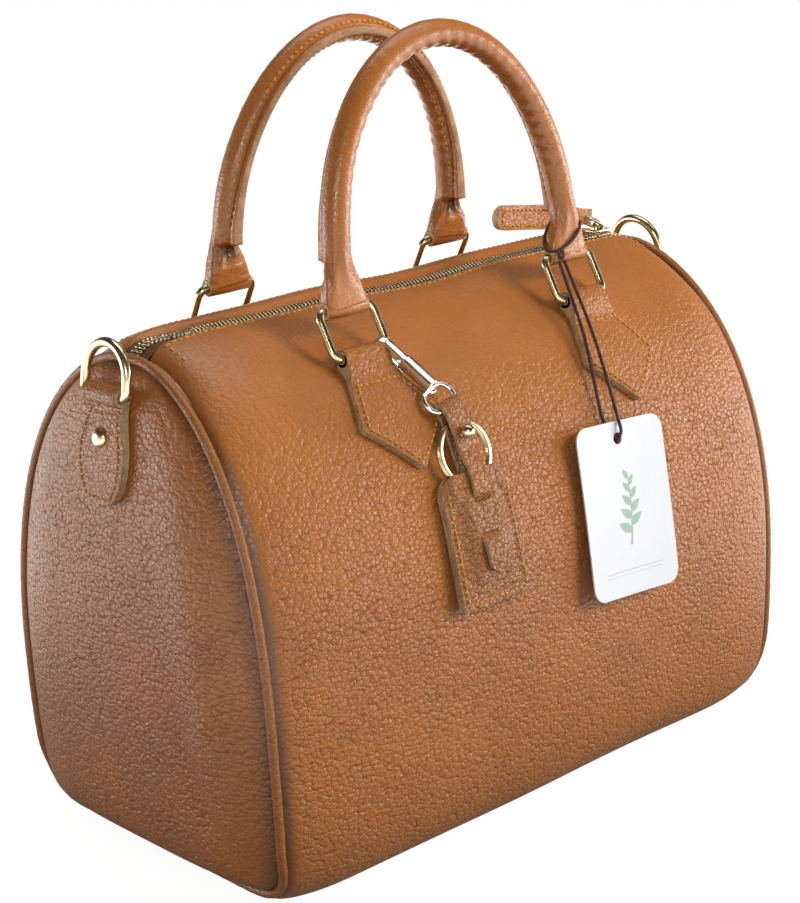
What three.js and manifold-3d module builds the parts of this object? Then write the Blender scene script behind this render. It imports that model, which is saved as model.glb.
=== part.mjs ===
// A zip-top barrel handbag in leather: wrapped body panel, piped ends, rolled handles, key fob and hang tag.
// Millimetres, +Z up. The origin is the middle of the base, on the ground; the front of the bag faces -Y.
import * as THREE from 'three';
import { mergeVertices } from 'three/addons/utils/BufferGeometryUtils.js';
import Module from 'manifold-3d';

const wasm = await Module();
wasm.setup();

// Body
const SEAM_LENGTH = 320; // between the two piped end seams, at the base
const SEAM_HEIGHT = 229; // of the end seam's outline
const SEAM_HALF_DEPTH = 91.2; // of the end seam's outline, where it is widest
const WIDEST_HEIGHT = 73; // height of the widest place above the lowest point of the seam
const BASE_HALF_FLAT = 60; // half the depth of the flat base
const ZIP_SLOT_HALF = 8; // from the middle of the zip to the folded leather edge
const SEAM_LEAN = 3.5; // how far the seams lean in at the top
const SEAM_BOW = 4.7; // how far the seams bow out at mid height
const BULGE = 5; // how far the body swells past the end seams
const BULGE_RUN = 45; // length over which it swells
const LEATHER = 2;
const GUSSET_DOME = 13; // how far the end panels swell outwards
const PIPING_DIAMETER = 5;
const PIPING_PROUD = 1.2; // how far the piping stands out of the seam's outline
const BOARD_THICKNESS = 2.4;
const BOARD_LENGTH = 226;
const LINING_CLOTH = 0.8;
const POCKET_WIDTH = 150;
const POCKET_TOP_ARC = 66; // down the section from the zip's edge
const POCKET_BOTTOM_ARC = 158;
const CLEARANCE = 0.3; // between neighbouring pieces

// Zip
const ZIP_MOUTH_END = 122; // half length of the part that opens
const ZIP_END = 152; // where the tapes end, from the middle
const TAPE_THICKNESS = 0.6;
const CHAIN_WIDTH = 2.4; // one row of teeth
const CHAIN_HEIGHT = 2.6;
const CHAIN_GAP = 1.4; // between the two rows, where the slider's post runs
const STOP_LENGTH = 2.2;
const SLIDER_X = 138;
const SLIDER_LENGTH = 13;
const SLIDER_WIDTH = 9.2;
const SLIDER_PLATE = 1.4;
const CROWN_OPENING = 2.6; // free height under the slider's crown
const PULL_WIRE = 1.6;
const PULL_RING_DIAMETER = 13; // at the middle of the wire
const PULL_RING_RISE = 34; // degrees above level
const PULL_LENGTH = 68;
const PULL_WIDTH = 12;
const PULL_THICKNESS = 3.4;
const PULL_RISE = 8; // degrees above level

// Handles, their rings and tabs
const HANDLE_SPAN = 140; // between the middles of a handle's two rings
const HANDLE_RISE = 110; // from the ring's upper bar to the middle of the grip
const HANDLE_STRAIGHT = 16; // straight stretch above the ring
const HANDLE_FLARE = 1; // how far the legs spread above the ring
const HANDLE_LEAN = 6; // degrees, tops towards each other
const GRIP_DIAMETER = 12.8;
const LEG_DIAMETER = 14.6;
const LEG_TAPER = 24; // height over which the flat end becomes round
const CORE_DIAMETER = 8.4;
const LOOP_WIDTH = 24; // of the leather loops at the handles' ends
const TAB_LOOP_WIDTH = 20; // of the leather loops on the tabs
const RING_WIRE = 3.5;
const RING_WIDTH = 31; // between the middles of the side bars
const RING_HEIGHT = 22; // between the middles of the upper and lower bars
const RING_CORNER = 4.5;
const RING_LEAN = 28; // degrees from upright
const LOOP_PLAY = 0.5; // between a wire and the leather round it
const TAB_ARC = 41; // of the loop's middle, down the section from the zip's edge
const TAB_SHOULDER_ARC = 72;
const TAB_TIP_ARC = 93;
const TAB_WIDTH = 47;

// Strap tabs and D-rings on the ends
const STRAP_TAB_DROP = 20; // of the loop's middle, below the top of the bag
const STRAP_TAB_WIDTH = 33;
const STRAP_TAB_SHOULDER = 26; // below the loop
const STRAP_TAB_TIP = 46;
const STRAP_TAB_TIP_WIDTH = 14;
const D_RING_WIRE = 4;
const D_RING_WIDTH = 29;
const D_RING_HEIGHT = 22;
const D_RING_LEAN = 9;
const RIVET_DROP = 18; // below the loop's middle
const RIVET_HEAD = 8.6;
const RIVET_SHANK = 3.6;

// Key fob
const FOB_EYE_ACROSS = 26; // far bar of the swivel eye, from the middle of the ring that it hangs on
const FOB_EYE_ARC = 73;
const FOB_LIFT = 4.6; // of the tag's middle layer above the leather
const FOB_EYE_LIFT = 7.6; // of the eye's bar above the leather
const FOB_SETTLE = 22; // length over which the strap comes down to the tag's lift
const FOB_ACROSS = 28; // middle of the hanging tag, from the middle of the same ring
const FOB_STAND = 2; // how far the stiff tag's lower end stands off the curved leather
const HOOK_CORNER = 28; // degrees round the ring's corner from its lower bar
const HOOK_THICKNESS = 2.6;
const HOOK_WALL = 1.7;
const HOOK_THROAT = 5.6;
const HOOK_OPENING = 10; // from the ring's wire to the barrel
const GATE_LENGTH = 12.4;
const GATE_TRAVEL = 4;
const EYE_WIRE = 2;
const EYE_WIDTH = 17.6;
const EYE_HEIGHT = 9;
const EYE_CORNER = 3.5;
const EYE_STEM = 1.6;
const FOB_LEATHER = 1.6;
const FOB_STRAP_WIDTH = 10;
const FOB_LENGTH = 83.5; // from the eye's bar to the lower edge of the tag
const FOB_WIDTH = 40;
const FOB_TOP = 26; // upper edge of the tag, from the eye's bar
const FOB_SHOULDER = 6;
const UPPER_SLOT = 41.5; // lower end of the tag's upper slot, from the eye's bar
const LOWER_SLOT = 57;
const SLOT_LENGTH = 6;
const STRAP_TIP = 69.5; // end of the strap, from the eye's bar
const STUD_PLACE = 12; // from the eye's bar
const STUD_BALL = 6.4;
const STUD_SHANK = 3;
const KEY_RING_DIAMETER = 28;
const KEY_RING_BAND = 2.6;
const KEY_RING_THICKNESS = 1.6;
const KEY_RING_PLACE = 19.5; // middle of the ring, from the eye's bar

// Hang tag
const CORD_DIAMETER = 1.6;
const CORD_SIDES = 8;
const CORD_STEPS = 56;
const CORD_BOW = 2.5; // how far its middle stands off the tab behind it
const KNOT_DIAMETER = 4.6;
const KNOT_RISE = 5; // above the ring's upper bar, along the handle
const KNOT_ACROSS = 9; // from the middle of the ring, towards the middle of the bag
const CARD_WIDTH = 58;
const CARD_LENGTH = 81;
const CARD_THICKNESS = 0.8;
const CARD_CORNER = 7;
const CARD_ACROSS = 17.5; // from the middle of the ring above it to the card's middle
const CARD_TOP_ARC = 99;
const CARD_BOTTOM_ARC = 178;
const CARD_TOP_LIFT = 5.5;
const CARD_BOTTOM_LIFT = 6.5;
const CARD_TURN = 3.4; // degrees, right side down
const CARD_HOLE_DROP = 8;
const CARD_HOLE_DIAMETER = 5.6;
const CARD_HOLE_X = -1; // from the card's middle

const LEFT = -1;
const RIGHT = 1;
const FRONT = -1;
const REAR = 1;

const vec = (x, y, z) => new THREE.Vector3(x, y, z);
const flat = (x, y) => new THREE.Vector2(x, y);
const radians = THREE.MathUtils.degToRad;
const mix = THREE.MathUtils.lerp;
const smooth = (low, high, value) => THREE.MathUtils.smoothstep(value, low, high);

const leather = new THREE.MeshStandardMaterial({ color: 0xa9642c, roughness: 0.55, metalness: 0 });
const darkLeather = new THREE.MeshStandardMaterial({ color: 0x9a5a27, roughness: 0.6, metalness: 0 });
const gold = new THREE.MeshStandardMaterial({ color: 0xd9c592, roughness: 0.2, metalness: 1 });
const tape = new THREE.MeshStandardMaterial({ color: 0x8c5a2c, roughness: 0.9, metalness: 0 });
const lining = new THREE.MeshStandardMaterial({ color: 0x4b3a2a, roughness: 0.95, metalness: 0 });
const board = new THREE.MeshStandardMaterial({ color: 0x6b5a48, roughness: 0.9, metalness: 0 });
const rope = new THREE.MeshStandardMaterial({ color: 0xcbbfa8, roughness: 0.9, metalness: 0 });
const cordBrown = new THREE.MeshStandardMaterial({ color: 0x3b2019, roughness: 0.8, metalness: 0 });
const card = new THREE.MeshStandardMaterial({ color: 0xf4f3ee, roughness: 0.6, metalness: 0 });

const bag = new THREE.Group();

function add(name, geometry, material, place) {
  const mesh = new THREE.Mesh(geometry, material);
  mesh.name = name;
  if (place) place(mesh);
  bag.add(mesh);
  return mesh;
}

// Closed meshes

// An indexed geometry whose faces point out.
function closedMesh(points, triangles) {
  let volume = 0;
  const normal = vec(0, 0, 0);
  for (const [a, b, c] of triangles) volume += points[a].dot(normal.crossVectors(points[b], points[c]));
  const index = triangles.flatMap(([a, b, c]) => (volume < 0 ? [a, c, b] : [a, b, c]));
  const geometry = new THREE.BufferGeometry();
  const numbers = points.flatMap((p) => [p.x, p.y, p.z]);
  geometry.setAttribute('position', new THREE.Float32BufferAttribute(numbers, 3));
  geometry.setIndex(index);
  geometry.computeVertexNormals();
  return geometry;
}

// A sheet with thickness: two grids of points, rows by columns, and the rim between them.
function slab(outer, inner) {
  const rows = outer.length;
  const columns = outer[0].length;
  const points = [...outer.flat(), ...inner.flat()];
  const size = rows * columns;
  const triangles = [];
  const quad = (a, b, c, d) => triangles.push([a, b, c], [a, c, d]);
  const at = (row, column) => row * columns + column;
  for (let r = 0; r + 1 < rows; r++) {
    for (let c = 0; c + 1 < columns; c++) {
      const [p, q, s, t] = [at(r, c), at(r, c + 1), at(r + 1, c + 1), at(r + 1, c)];
      quad(p, q, s, t);
      quad(size + p, size + t, size + s, size + q);
    }
  }
  const rim = [];
  for (let c = 0; c < columns; c++) rim.push(at(0, c));
  for (let r = 1; r < rows; r++) rim.push(at(r, columns - 1));
  for (let c = columns - 2; c >= 0; c--) rim.push(at(rows - 1, c));
  for (let r = rows - 2; r > 0; r--) rim.push(at(r, 0));
  rim.forEach((p, i) => {
    const q = rim[(i + 1) % rim.length];
    quad(q, p, size + p, size + q);
  });
  return closedMesh(points, triangles);
}

// A skin over rings of points, either joined into a loop or closed by a fan at each end.
function skin(rings, loop) {
  const sides = rings[0].length;
  const points = rings.flat();
  const triangles = [];
  const last = loop ? rings.length : rings.length - 1;
  for (let r = 0; r < last; r++) {
    const near = r * sides;
    const far = ((r + 1) % rings.length) * sides;
    for (let s = 0; s < sides; s++) {
      const next = (s + 1) % sides;
      triangles.push([near + s, near + next, far + next], [near + s, far + next, far + s]);
    }
  }
  if (!loop) {
    const start = (rings.length - 1) * sides;
    for (let s = 1; s + 1 < sides; s++) {
      triangles.push([0, s + 1, s], [start, start + s, start + s + 1]);
    }
  }
  return closedMesh(points, triangles);
}

// A tube along a path that lies in one plane. sizeAt gives the half width in the plane and across it.
function planarTube(path, normal, sizeAt, sides, loop) {
  const count = path.length;
  const rings = path.map((p, i) => {
    const before = path[loop ? (i + count - 1) % count : Math.max(i - 1, 0)];
    const after = path[loop ? (i + 1) % count : Math.min(i + 1, count - 1)];
    const across = vec(0, 0, 0).crossVectors(normal, after.clone().sub(before)).normalize();
    const [wide, thick] = sizeAt(i);
    return Array.from({ length: sides }, (_, s) => {
      const turn = (2 * Math.PI * (s + 0.5)) / sides;
      const place = p.clone().addScaledVector(across, wide * Math.cos(turn));
      return place.addScaledVector(normal, thick * Math.sin(turn));
    });
  });
  return skin(rings, loop);
}

function toSolid(geometry) {
  const bare = geometry.clone();
  bare.deleteAttribute('normal');
  bare.deleteAttribute('uv');
  const merged = mergeVertices(bare, 1e-3);
  const vertProperties = new Float32Array(merged.attributes.position.array);
  const triVerts = new Uint32Array(merged.index.array);
  return new wasm.Manifold(new wasm.Mesh({ numProp: 3, vertProperties, triVerts }));
}

function toGeometry(solid) {
  const { vertProperties, triVerts, numProp } = solid.getMesh();
  const geometry = new THREE.BufferGeometry();
  const xyz = [];
  for (let i = 0; i < vertProperties.length; i += numProp) xyz.push(...vertProperties.slice(i, i + 3));
  geometry.setAttribute('position', new THREE.Float32BufferAttribute(xyz, 3));
  geometry.setIndex([...triVerts]);
  geometry.computeVertexNormals();
  return geometry;
}

const join = (first, ...others) => toGeometry(others.reduce((s, g) => s.add(toSolid(g)), toSolid(first)));
const cut = (first, ...others) => toGeometry(others.reduce((s, g) => s.subtract(toSolid(g)), toSolid(first)));

// Points along a circle between two angles in degrees, and the points of a whole one.
function arcPoints(x, y, radius, from, to, steps) {
  return Array.from({ length: steps + 1 }, (_, i) => {
    const turn = radians(mix(from, to, i / steps));
    return flat(x + radius * Math.cos(turn), y + radius * Math.sin(turn));
  });
}

function roundHole(x, y, radius) {
  return new THREE.Path(arcPoints(x, y, radius, 0, -360, 12).slice(1));
}

// A prism between two heights over an outline in the XY plane.
function prism(shape, low, high) {
  const options = { depth: high - low, bevelEnabled: false, curveSegments: 6 };
  const geometry = new THREE.ExtrudeGeometry(shape, options);
  return geometry.translate(0, 0, low);
}

function rectangle(x0, y0, x1, y1) {
  return new THREE.Shape([flat(x0, y0), flat(x1, y0), flat(x1, y1), flat(x0, y1)]);
}

// A round bar from one point to another.
function bar(from, to, radius, sides) {
  const geometry = new THREE.CylinderGeometry(radius, radius, from.distanceTo(to), sides);
  const turn = new THREE.Quaternion().setFromUnitVectors(vec(0, 1, 0), to.clone().sub(from).normalize());
  const middle = from.clone().add(to).multiplyScalar(0.5);
  return geometry.applyMatrix4(new THREE.Matrix4().compose(middle, turn, vec(1, 1, 1)));
}

// A leather loop round a wire that runs along direction.
function leatherLoop(middle, direction, width, wire, thickness) {
  const sides = 14;
  const inner = wire / 2 + LOOP_PLAY;
  const half = direction.clone().multiplyScalar(width / 2);
  const pastEnd = direction.clone().multiplyScalar(width / 2 + 1);
  const outside = bar(middle.clone().sub(half), middle.clone().add(half), inner + thickness, sides);
  const around = inner / Math.cos(Math.PI / sides);
  const hole = bar(middle.clone().sub(pastEnd), middle.clone().add(pastEnd), around, sides);
  return { outside, hole };
}

const loopRadius = (wire, thickness) => wire / 2 + LOOP_PLAY + thickness;

// Points round a rectangle with round corners in the XZ plane, its lower bar's middle at the origin.
function roundedLoop(width, height, corner) {
  const steps = 3;
  const middles = [
    [width / 2 - corner, corner, -90],
    [width / 2 - corner, height - corner, 0],
    [corner - width / 2, height - corner, 90],
    [corner - width / 2, corner, 180],
  ];
  return middles.flatMap(([x, z, from]) =>
    Array.from({ length: steps + 1 }, (_, i) => {
      const turn = radians(from + (90 * i) / steps);
      return vec(x + corner * Math.cos(turn), 0, z + corner * Math.sin(turn));
    }),
  );
}

// Points round a D in the XZ plane, its straight bar's middle at the origin.
function dLoop(width, height) {
  const steps = 12;
  const corner = 3;
  const rise = height - width / 2;
  const bow = Array.from({ length: steps + 1 }, (_, i) => {
    const turn = (Math.PI * i) / steps;
    return vec((width / 2) * Math.cos(turn), 0, rise + (height - rise) * Math.sin(turn));
  });
  const foot = vec(width / 2 - corner, 0, 0);
  const side = vec(width / 2, 0, corner);
  const other = [side, foot].map((p) => vec(-p.x, 0, p.z));
  const [near, far] = [vec(width / 2 - 0.9, 0, 0.9), vec(0.9 - width / 2, 0, 0.9)];
  return [foot, near, side, ...bow, other[0], far, other[1]];
}

function wireLoop(points, wire) {
  return planarTube(points, vec(0, 1, 0), () => [wire / 2, wire / 2], 8, true);
}

// The bag's outline

const cornerCurve = new THREE.CubicBezierCurve(
  flat(BASE_HALF_FLAT, 0),
  flat(SEAM_HALF_DEPTH, 0),
  flat(SEAM_HALF_DEPTH, 0.2 * WIDEST_HEIGHT),
  flat(SEAM_HALF_DEPTH, WIDEST_HEIGHT),
);
const archCurve = new THREE.CubicBezierCurve(
  flat(SEAM_HALF_DEPTH, WIDEST_HEIGHT),
  flat(SEAM_HALF_DEPTH, mix(WIDEST_HEIGHT, SEAM_HEIGHT, 0.9)),
  flat(mix(ZIP_SLOT_HALF, SEAM_HALF_DEPTH, 0.1), SEAM_HEIGHT),
  flat(ZIP_SLOT_HALF, SEAM_HEIGHT),
);

// A place on the seam's outline: depth, height and the outward normal, all for the rear half.
function outlinePlace(curve, share) {
  const p = curve.getPointAt(share);
  const t = curve.getTangentAt(share);
  return { y: p.x, z: p.y + BULGE, ny: t.y, nz: -t.x };
}

function halfOutline(cornerSteps, archSteps) {
  const places = [];
  for (let i = 0; i <= cornerSteps; i++) places.push(outlinePlace(cornerCurve, i / cornerSteps));
  for (let i = 1; i <= archSteps; i++) places.push(outlinePlace(archCurve, i / archSteps));
  return places;
}

// The whole outline, from the front edge of the zip slot, under the base, to the rear edge.
function wholeOutline(cornerSteps, archSteps) {
  const rear = halfOutline(cornerSteps, archSteps);
  const front = rear.map((p) => ({ ...p, y: -p.y, ny: -p.ny })).reverse();
  return [...front, ...rear];
}

const seamX = (z) => {
  const share = (z - BULGE) / SEAM_HEIGHT;
  return SEAM_LENGTH / 2 - SEAM_LEAN * share + SEAM_BOW * 4 * share * (1 - share);
};
const swell = (fromSeam) => BULGE * (1 - Math.pow(1 - Math.min(fromSeam / BULGE_RUN, 1), 2.5));

// A point on the body: arc runs down the section from the zip's edge, lift is the height above the leather.
function onBody(side, x, arc, lift) {
  const archLength = archCurve.getLength();
  const share = arc <= archLength ? 1 - arc / archLength : 1 - (arc - archLength) / cornerCurve.getLength();
  const p = outlinePlace(arc <= archLength ? archCurve : cornerCurve, share);
  return vec(x, side * (p.y + p.ny * (BULGE + lift)), p.z + p.nz * (BULGE + lift));
}

function bodyNormal(side, arc) {
  return onBody(side, 0, arc, 1).sub(onBody(side, 0, arc, 0));
}

const topZ = SEAM_HEIGHT + 2 * BULGE;
const pipingRadius = PIPING_DIAMETER / 2;
const panelEnd = pipingRadius + CLEARANCE;

// Rows of points along the bag at a distance inside the leather's outer face, ending short of the seams.
function bodyRows(depth, shortOfSeam, fromSeam, cornerSteps, archSteps) {
  const outline = wholeOutline(cornerSteps, archSteps);
  const row = (side, distance) =>
    outline.map((p) => {
      const out = swell(distance) - depth;
      return vec(side * (seamX(p.z) - shortOfSeam - distance), p.y + p.ny * out, p.z + p.nz * out);
    });
  const left = fromSeam.map((d) => row(LEFT, d));
  const right = fromSeam.map((d) => row(RIGHT, d)).reverse();
  return [...left, ...right];
}

function makeBody() {
  const steps = [[0, 4, 10, 20, 33, BULGE_RUN, 110], 5, 9];
  add('body_panel', slab(bodyRows(0, panelEnd, ...steps), bodyRows(LEATHER, panelEnd, ...steps)), leather);
  const boardLow = LEATHER + CLEARANCE;
  const boardHalf = BASE_HALF_FLAT - LEATHER;
  const outline = rectangle(-BOARD_LENGTH / 2, -boardHalf, BOARD_LENGTH / 2, boardHalf);
  add('base_board', prism(outline, boardLow, boardLow + BOARD_THICKNESS), board);
  const depth = boardLow + BOARD_THICKNESS + CLEARANCE;
  const shortOfSeam = panelEnd + LINING_CLOTH + 2 * CLEARANCE;
  const coarse = [[0, 10, 25, BULGE_RUN], 4, 7];
  const outside = bodyRows(depth, shortOfSeam, ...coarse);
  add('lining_panel', slab(outside, bodyRows(depth + LINING_CLOTH, shortOfSeam, ...coarse)), lining);
  makePocket(depth + LINING_CLOTH + CLEARANCE);
  makeLiningEnds(depth);
}

// A flat pocket on the rear wall of the lining.
function makePocket(depth) {
  const arcs = [POCKET_TOP_ARC, mix(POCKET_TOP_ARC, POCKET_BOTTOM_ARC, 0.5), POCKET_BOTTOM_ARC];
  const wall = (extra) =>
    arcs.map((arc) => [-0.5, 0.5].map((share) => onBody(REAR, share * POCKET_WIDTH, arc, -depth - extra)));
  add('slip_pocket', slab(wall(0.6), wall(0.6 + LINING_CLOTH)), lining);
}

// How far an end panel stands out of its seam, by its share across and its height.
function domeAt(across, z) {
  const middle = BULGE + SEAM_HEIGHT / 2;
  const up = (z - middle) / (SEAM_HEIGHT / 2);
  return GUSSET_DOME * (1 - Math.pow(Math.abs(across), 4)) * (1 - Math.pow(Math.min(Math.abs(up), 1), 5));
}

// A grid over a D-shaped end: rows follow the outline up, columns go across. inset is from the seam's
// outline.
function endGrid(side, inset, xAt, cornerSteps, archSteps) {
  const shares = [-1, -0.8, -0.5, 0, 0.5, 0.8, 1];
  return halfOutline(cornerSteps, archSteps).map((p) => {
    const y = p.y - p.ny * inset;
    const z = p.z - p.nz * inset;
    return shares.map((share) => vec(side * xAt(share, z), share * y, z));
  });
}

const gussetInset = PIPING_DIAMETER - PIPING_PROUD + 6 * CLEARANCE;

function makeEnds() {
  for (const [name, side] of [['left', LEFT], ['right', RIGHT]]) {
    const face = (share, z) => seamX(z) + domeAt(share, z);
    const outer = endGrid(side, gussetInset, face, 5, 9);
    const inner = endGrid(side, gussetInset, (share, z) => face(share, z) - LEATHER, 5, 9);
    add(`${name}_gusset`, slab(outer, inner), leather);
    const inset = pipingRadius - PIPING_PROUD;
    const onSeam = (p) => vec(side * seamX(p.z), p.y - p.ny * inset, p.z - p.nz * inset);
    const path = wholeOutline(4, 9).map(onSeam);
    add(`${name}_piping`, seamTube(path), darkLeather);
  }
}

// The piping follows the seam, which bows out of a plane, so each ring turns with the path.
function seamTube(path) {
  const curve = new THREE.CatmullRomCurve3(path, true, 'centripetal');
  const geometry = new THREE.TubeGeometry(curve, 44, pipingRadius, 6, true);
  geometry.deleteAttribute('uv');
  geometry.deleteAttribute('normal');
  const merged = mergeVertices(geometry, 1e-3);
  merged.computeVertexNormals();
  return merged;
}

function makeLiningEnds(depth) {
  const inset = depth + LINING_CLOTH;
  for (const [name, side] of [['left', LEFT], ['right', RIGHT]]) {
    const face = (share, z) => seamX(z) - panelEnd;
    const outer = endGrid(side, inset, face, 2, 5);
    const inner = endGrid(side, inset, (share, z) => face(share, z) - LINING_CLOTH, 2, 5);
    add(`lining_${name}_end`, slab(outer, inner), lining);
  }
}

// Zip

const tapeTop = topZ - LEATHER - CLEARANCE;
const tapeLow = tapeTop - TAPE_THICKNESS;
const tapeEdge = ZIP_SLOT_HALF - TAPE_THICKNESS - 0.2;
const chainInner = CHAIN_GAP / 2;
const chainOuter = chainInner + CHAIN_WIDTH;
const chainLow = tapeLow + TAPE_THICKNESS / 2 - CHAIN_HEIGHT / 2;
const chainTop = chainLow + CHAIN_HEIGHT;
const mouthHalf = ZIP_MOUTH_END - CLEARANCE / 2;

function makeZipFlaps() {
  for (const [name, side] of [['front', FRONT], ['rear', REAR]]) {
    const strip = rectangle(-mouthHalf, side * (chainOuter + CLEARANCE), mouthHalf, side * tapeEdge);
    add(`${name}_zip_tape`, prism(strip, tapeLow, tapeTop), tape);
    const row = rectangle(-mouthHalf, side * chainInner, mouthHalf, side * chainOuter);
    add(`${name}_zip_teeth`, prism(row, chainLow, chainTop), gold);
  }
}

// The sewn ends of the zip: a U of teeth closed by a stop, inside a U of tape.
function makeZipEnds() {
  const start = ZIP_MOUTH_END + CLEARANCE / 2;
  const u = (inner, outer, innerEnd, outerEnd) =>
    new THREE.Shape([
      flat(start, -outer),
      flat(outerEnd, -outer),
      flat(outerEnd, outer),
      flat(start, outer),
      flat(start, inner),
      flat(innerEnd, inner),
      flat(innerEnd, -inner),
      flat(start, -inner),
    ]);
  const stopEnd = ZIP_END - 3;
  for (const [name, turn] of [['left', Math.PI], ['right', 0]]) {
    const teeth = u(chainInner, chainOuter, stopEnd - STOP_LENGTH, stopEnd);
    add(`${name}_zip_stop`, prism(teeth, chainLow, chainTop), gold, (m) => m.rotateZ(turn));
    const cloth = u(chainOuter + CLEARANCE, tapeEdge, stopEnd + CLEARANCE, ZIP_END);
    add(`${name}_zip_tape`, prism(cloth, tapeLow, tapeTop), tape, (m) => m.rotateZ(turn));
  }
}

const sliderTop = chainTop + CLEARANCE + SLIDER_PLATE;
const crownWire = vec(SLIDER_X, 0, sliderTop + CROWN_OPENING / 2);
const pullRingDirection = vec(-Math.cos(radians(PULL_RING_RISE)), 0, Math.sin(radians(PULL_RING_RISE)));
const pullHole = crownWire.clone().addScaledVector(pullRingDirection, PULL_RING_DIAMETER);

function makeSlider() {
  const half = SLIDER_LENGTH / 2;
  const nose = half - 3;
  const wide = SLIDER_WIDTH / 2;
  const plate = new THREE.Shape([
    flat(-half, -wide * 0.7),
    flat(-nose, -wide * 0.7),
    flat(nose, -wide),
    flat(half, -wide * 0.8),
    flat(half, wide * 0.8),
    flat(nose, wide),
    flat(-nose, wide * 0.7),
    flat(-half, wide * 0.7),
  ]);
  const post = rectangle(-nose, 0.3 - chainInner, nose, chainInner - 0.3);
  const under = chainLow - CLEARANCE;
  const crownWidth = 1.6;
  const crownThickness = 1.2;
  const crownHalf = 3.4;
  const crown = [
    prism(rectangle(-crownHalf, -crownWidth, -crownHalf + crownThickness, crownWidth), sliderTop - 0.5,
      sliderTop + CROWN_OPENING + crownThickness),
    prism(rectangle(crownHalf - crownThickness, -crownWidth, crownHalf, crownWidth), sliderTop - 0.5,
      sliderTop + CROWN_OPENING + crownThickness),
    prism(rectangle(-crownHalf, -crownWidth, crownHalf, crownWidth), sliderTop + CROWN_OPENING,
      sliderTop + CROWN_OPENING + crownThickness),
  ];
  const body = join(
    prism(plate, sliderTop - SLIDER_PLATE, sliderTop),
    prism(plate, under - SLIDER_PLATE, under),
    prism(post, under - SLIDER_PLATE / 2, sliderTop - SLIDER_PLATE / 2),
    ...crown,
  );
  add('zip_slider', body, gold, (m) => m.position.set(SLIDER_X, 0, 0));
}

function makePull() {
  const across = vec(0, 1, 0);
  const middle = crownWire.clone().addScaledVector(pullRingDirection, PULL_RING_DIAMETER / 2);
  const steps = 18;
  const path = Array.from({ length: steps }, (_, i) => {
    const turn = (2 * Math.PI * i) / steps;
    const radius = PULL_RING_DIAMETER / 2;
    return middle
      .clone()
      .addScaledVector(pullRingDirection, radius * Math.cos(turn))
      .addScaledVector(across, radius * Math.sin(turn));
  });
  const normal = vec(0, 0, 0).crossVectors(pullRingDirection, across);
  const wire = () => [PULL_WIRE / 2, PULL_WIRE / 2];
  add('zip_pull_ring', planarTube(path, normal, wire, 6, true), gold);
  // The leather strip is drawn flat in XY with the ring's hole at the origin, and then stood on its edge.
  const half = PULL_WIDTH / 2;
  const near = 4.4;
  const strip = new THREE.Shape([
    flat(near, -half * 0.4),
    flat(near, half * 0.4),
    flat(near - 2, half * 0.72),
    flat(-PULL_LENGTH * 0.3, half),
    ...arcPoints(near + half - PULL_LENGTH, 0, half, 90, 270, 8),
    flat(-PULL_LENGTH * 0.3, -half),
    flat(near - 2, -half * 0.72),
  ]);
  strip.holes.push(roundHole(0, 0, PULL_WIRE / 2 + 0.7));
  add('zip_pull', prism(strip, -PULL_THICKNESS / 2, PULL_THICKNESS / 2), leather, (m) => {
    m.position.copy(pullHole);
    m.rotation.set(Math.PI / 2, 0, -radians(PULL_RISE), 'XYZ');
  });
}

// Handles

const tabLoopRadius = loopRadius(RING_WIRE, LEATHER);
const lowerBar = (side) => onBody(side, 0, TAB_ARC, tabLoopRadius + CLEARANCE);
const ringUp = (side) => vec(0, -side * Math.sin(radians(RING_LEAN)), Math.cos(radians(RING_LEAN)));
const upperBar = (side) => lowerBar(side).addScaledVector(ringUp(side), RING_HEIGHT);
const handleUp = (side) => vec(0, -side * Math.sin(radians(HANDLE_LEAN)), Math.cos(radians(HANDLE_LEAN)));

function tabHalfWidth(arc) {
  const neck = TAB_ARC + 7;
  if (arc <= neck) return TAB_LOOP_WIDTH / 2;
  if (arc <= TAB_SHOULDER_ARC) {
    return mix(TAB_LOOP_WIDTH / 2, TAB_WIDTH / 2, Math.pow((arc - neck) / (TAB_SHOULDER_ARC - neck), 1.2));
  }
  return mix(TAB_WIDTH / 2, 1, (arc - TAB_SHOULDER_ARC) / (TAB_TIP_ARC - TAB_SHOULDER_ARC));
}

function makeTab(name, side, x) {
  const neck = TAB_ARC + 7;
  const flare = (share) => mix(neck, TAB_SHOULDER_ARC, share);
  const point = (share) => mix(TAB_SHOULDER_ARC, TAB_TIP_ARC, share);
  const arcs = [TAB_ARC, neck, flare(0.35), flare(0.7), flare(1), point(0.5), point(1)];
  const grid = (lift) =>
    arcs.map((arc) => {
      const half = tabHalfWidth(arc);
      return [-1, -0.4, 0.4, 1].map((share) => onBody(side, x + share * half, arc, lift));
    });
  const sheet = slab(grid(CLEARANCE + LEATHER), grid(CLEARANCE));
  const middle = lowerBar(side).setX(x);
  const { outside, hole } = leatherLoop(middle, vec(1, 0, 0), TAB_LOOP_WIDTH, RING_WIRE, LEATHER);
  add(name, cut(join(sheet, outside), hole), leather);
}

function makeRing(name, side, x) {
  const geometry = wireLoop(roundedLoop(RING_WIDTH, RING_HEIGHT, RING_CORNER), RING_WIRE);
  add(name, geometry, gold, (m) => {
    m.position.copy(lowerBar(side).setX(x));
    m.rotation.x = side * radians(RING_LEAN);
  });
}

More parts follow.
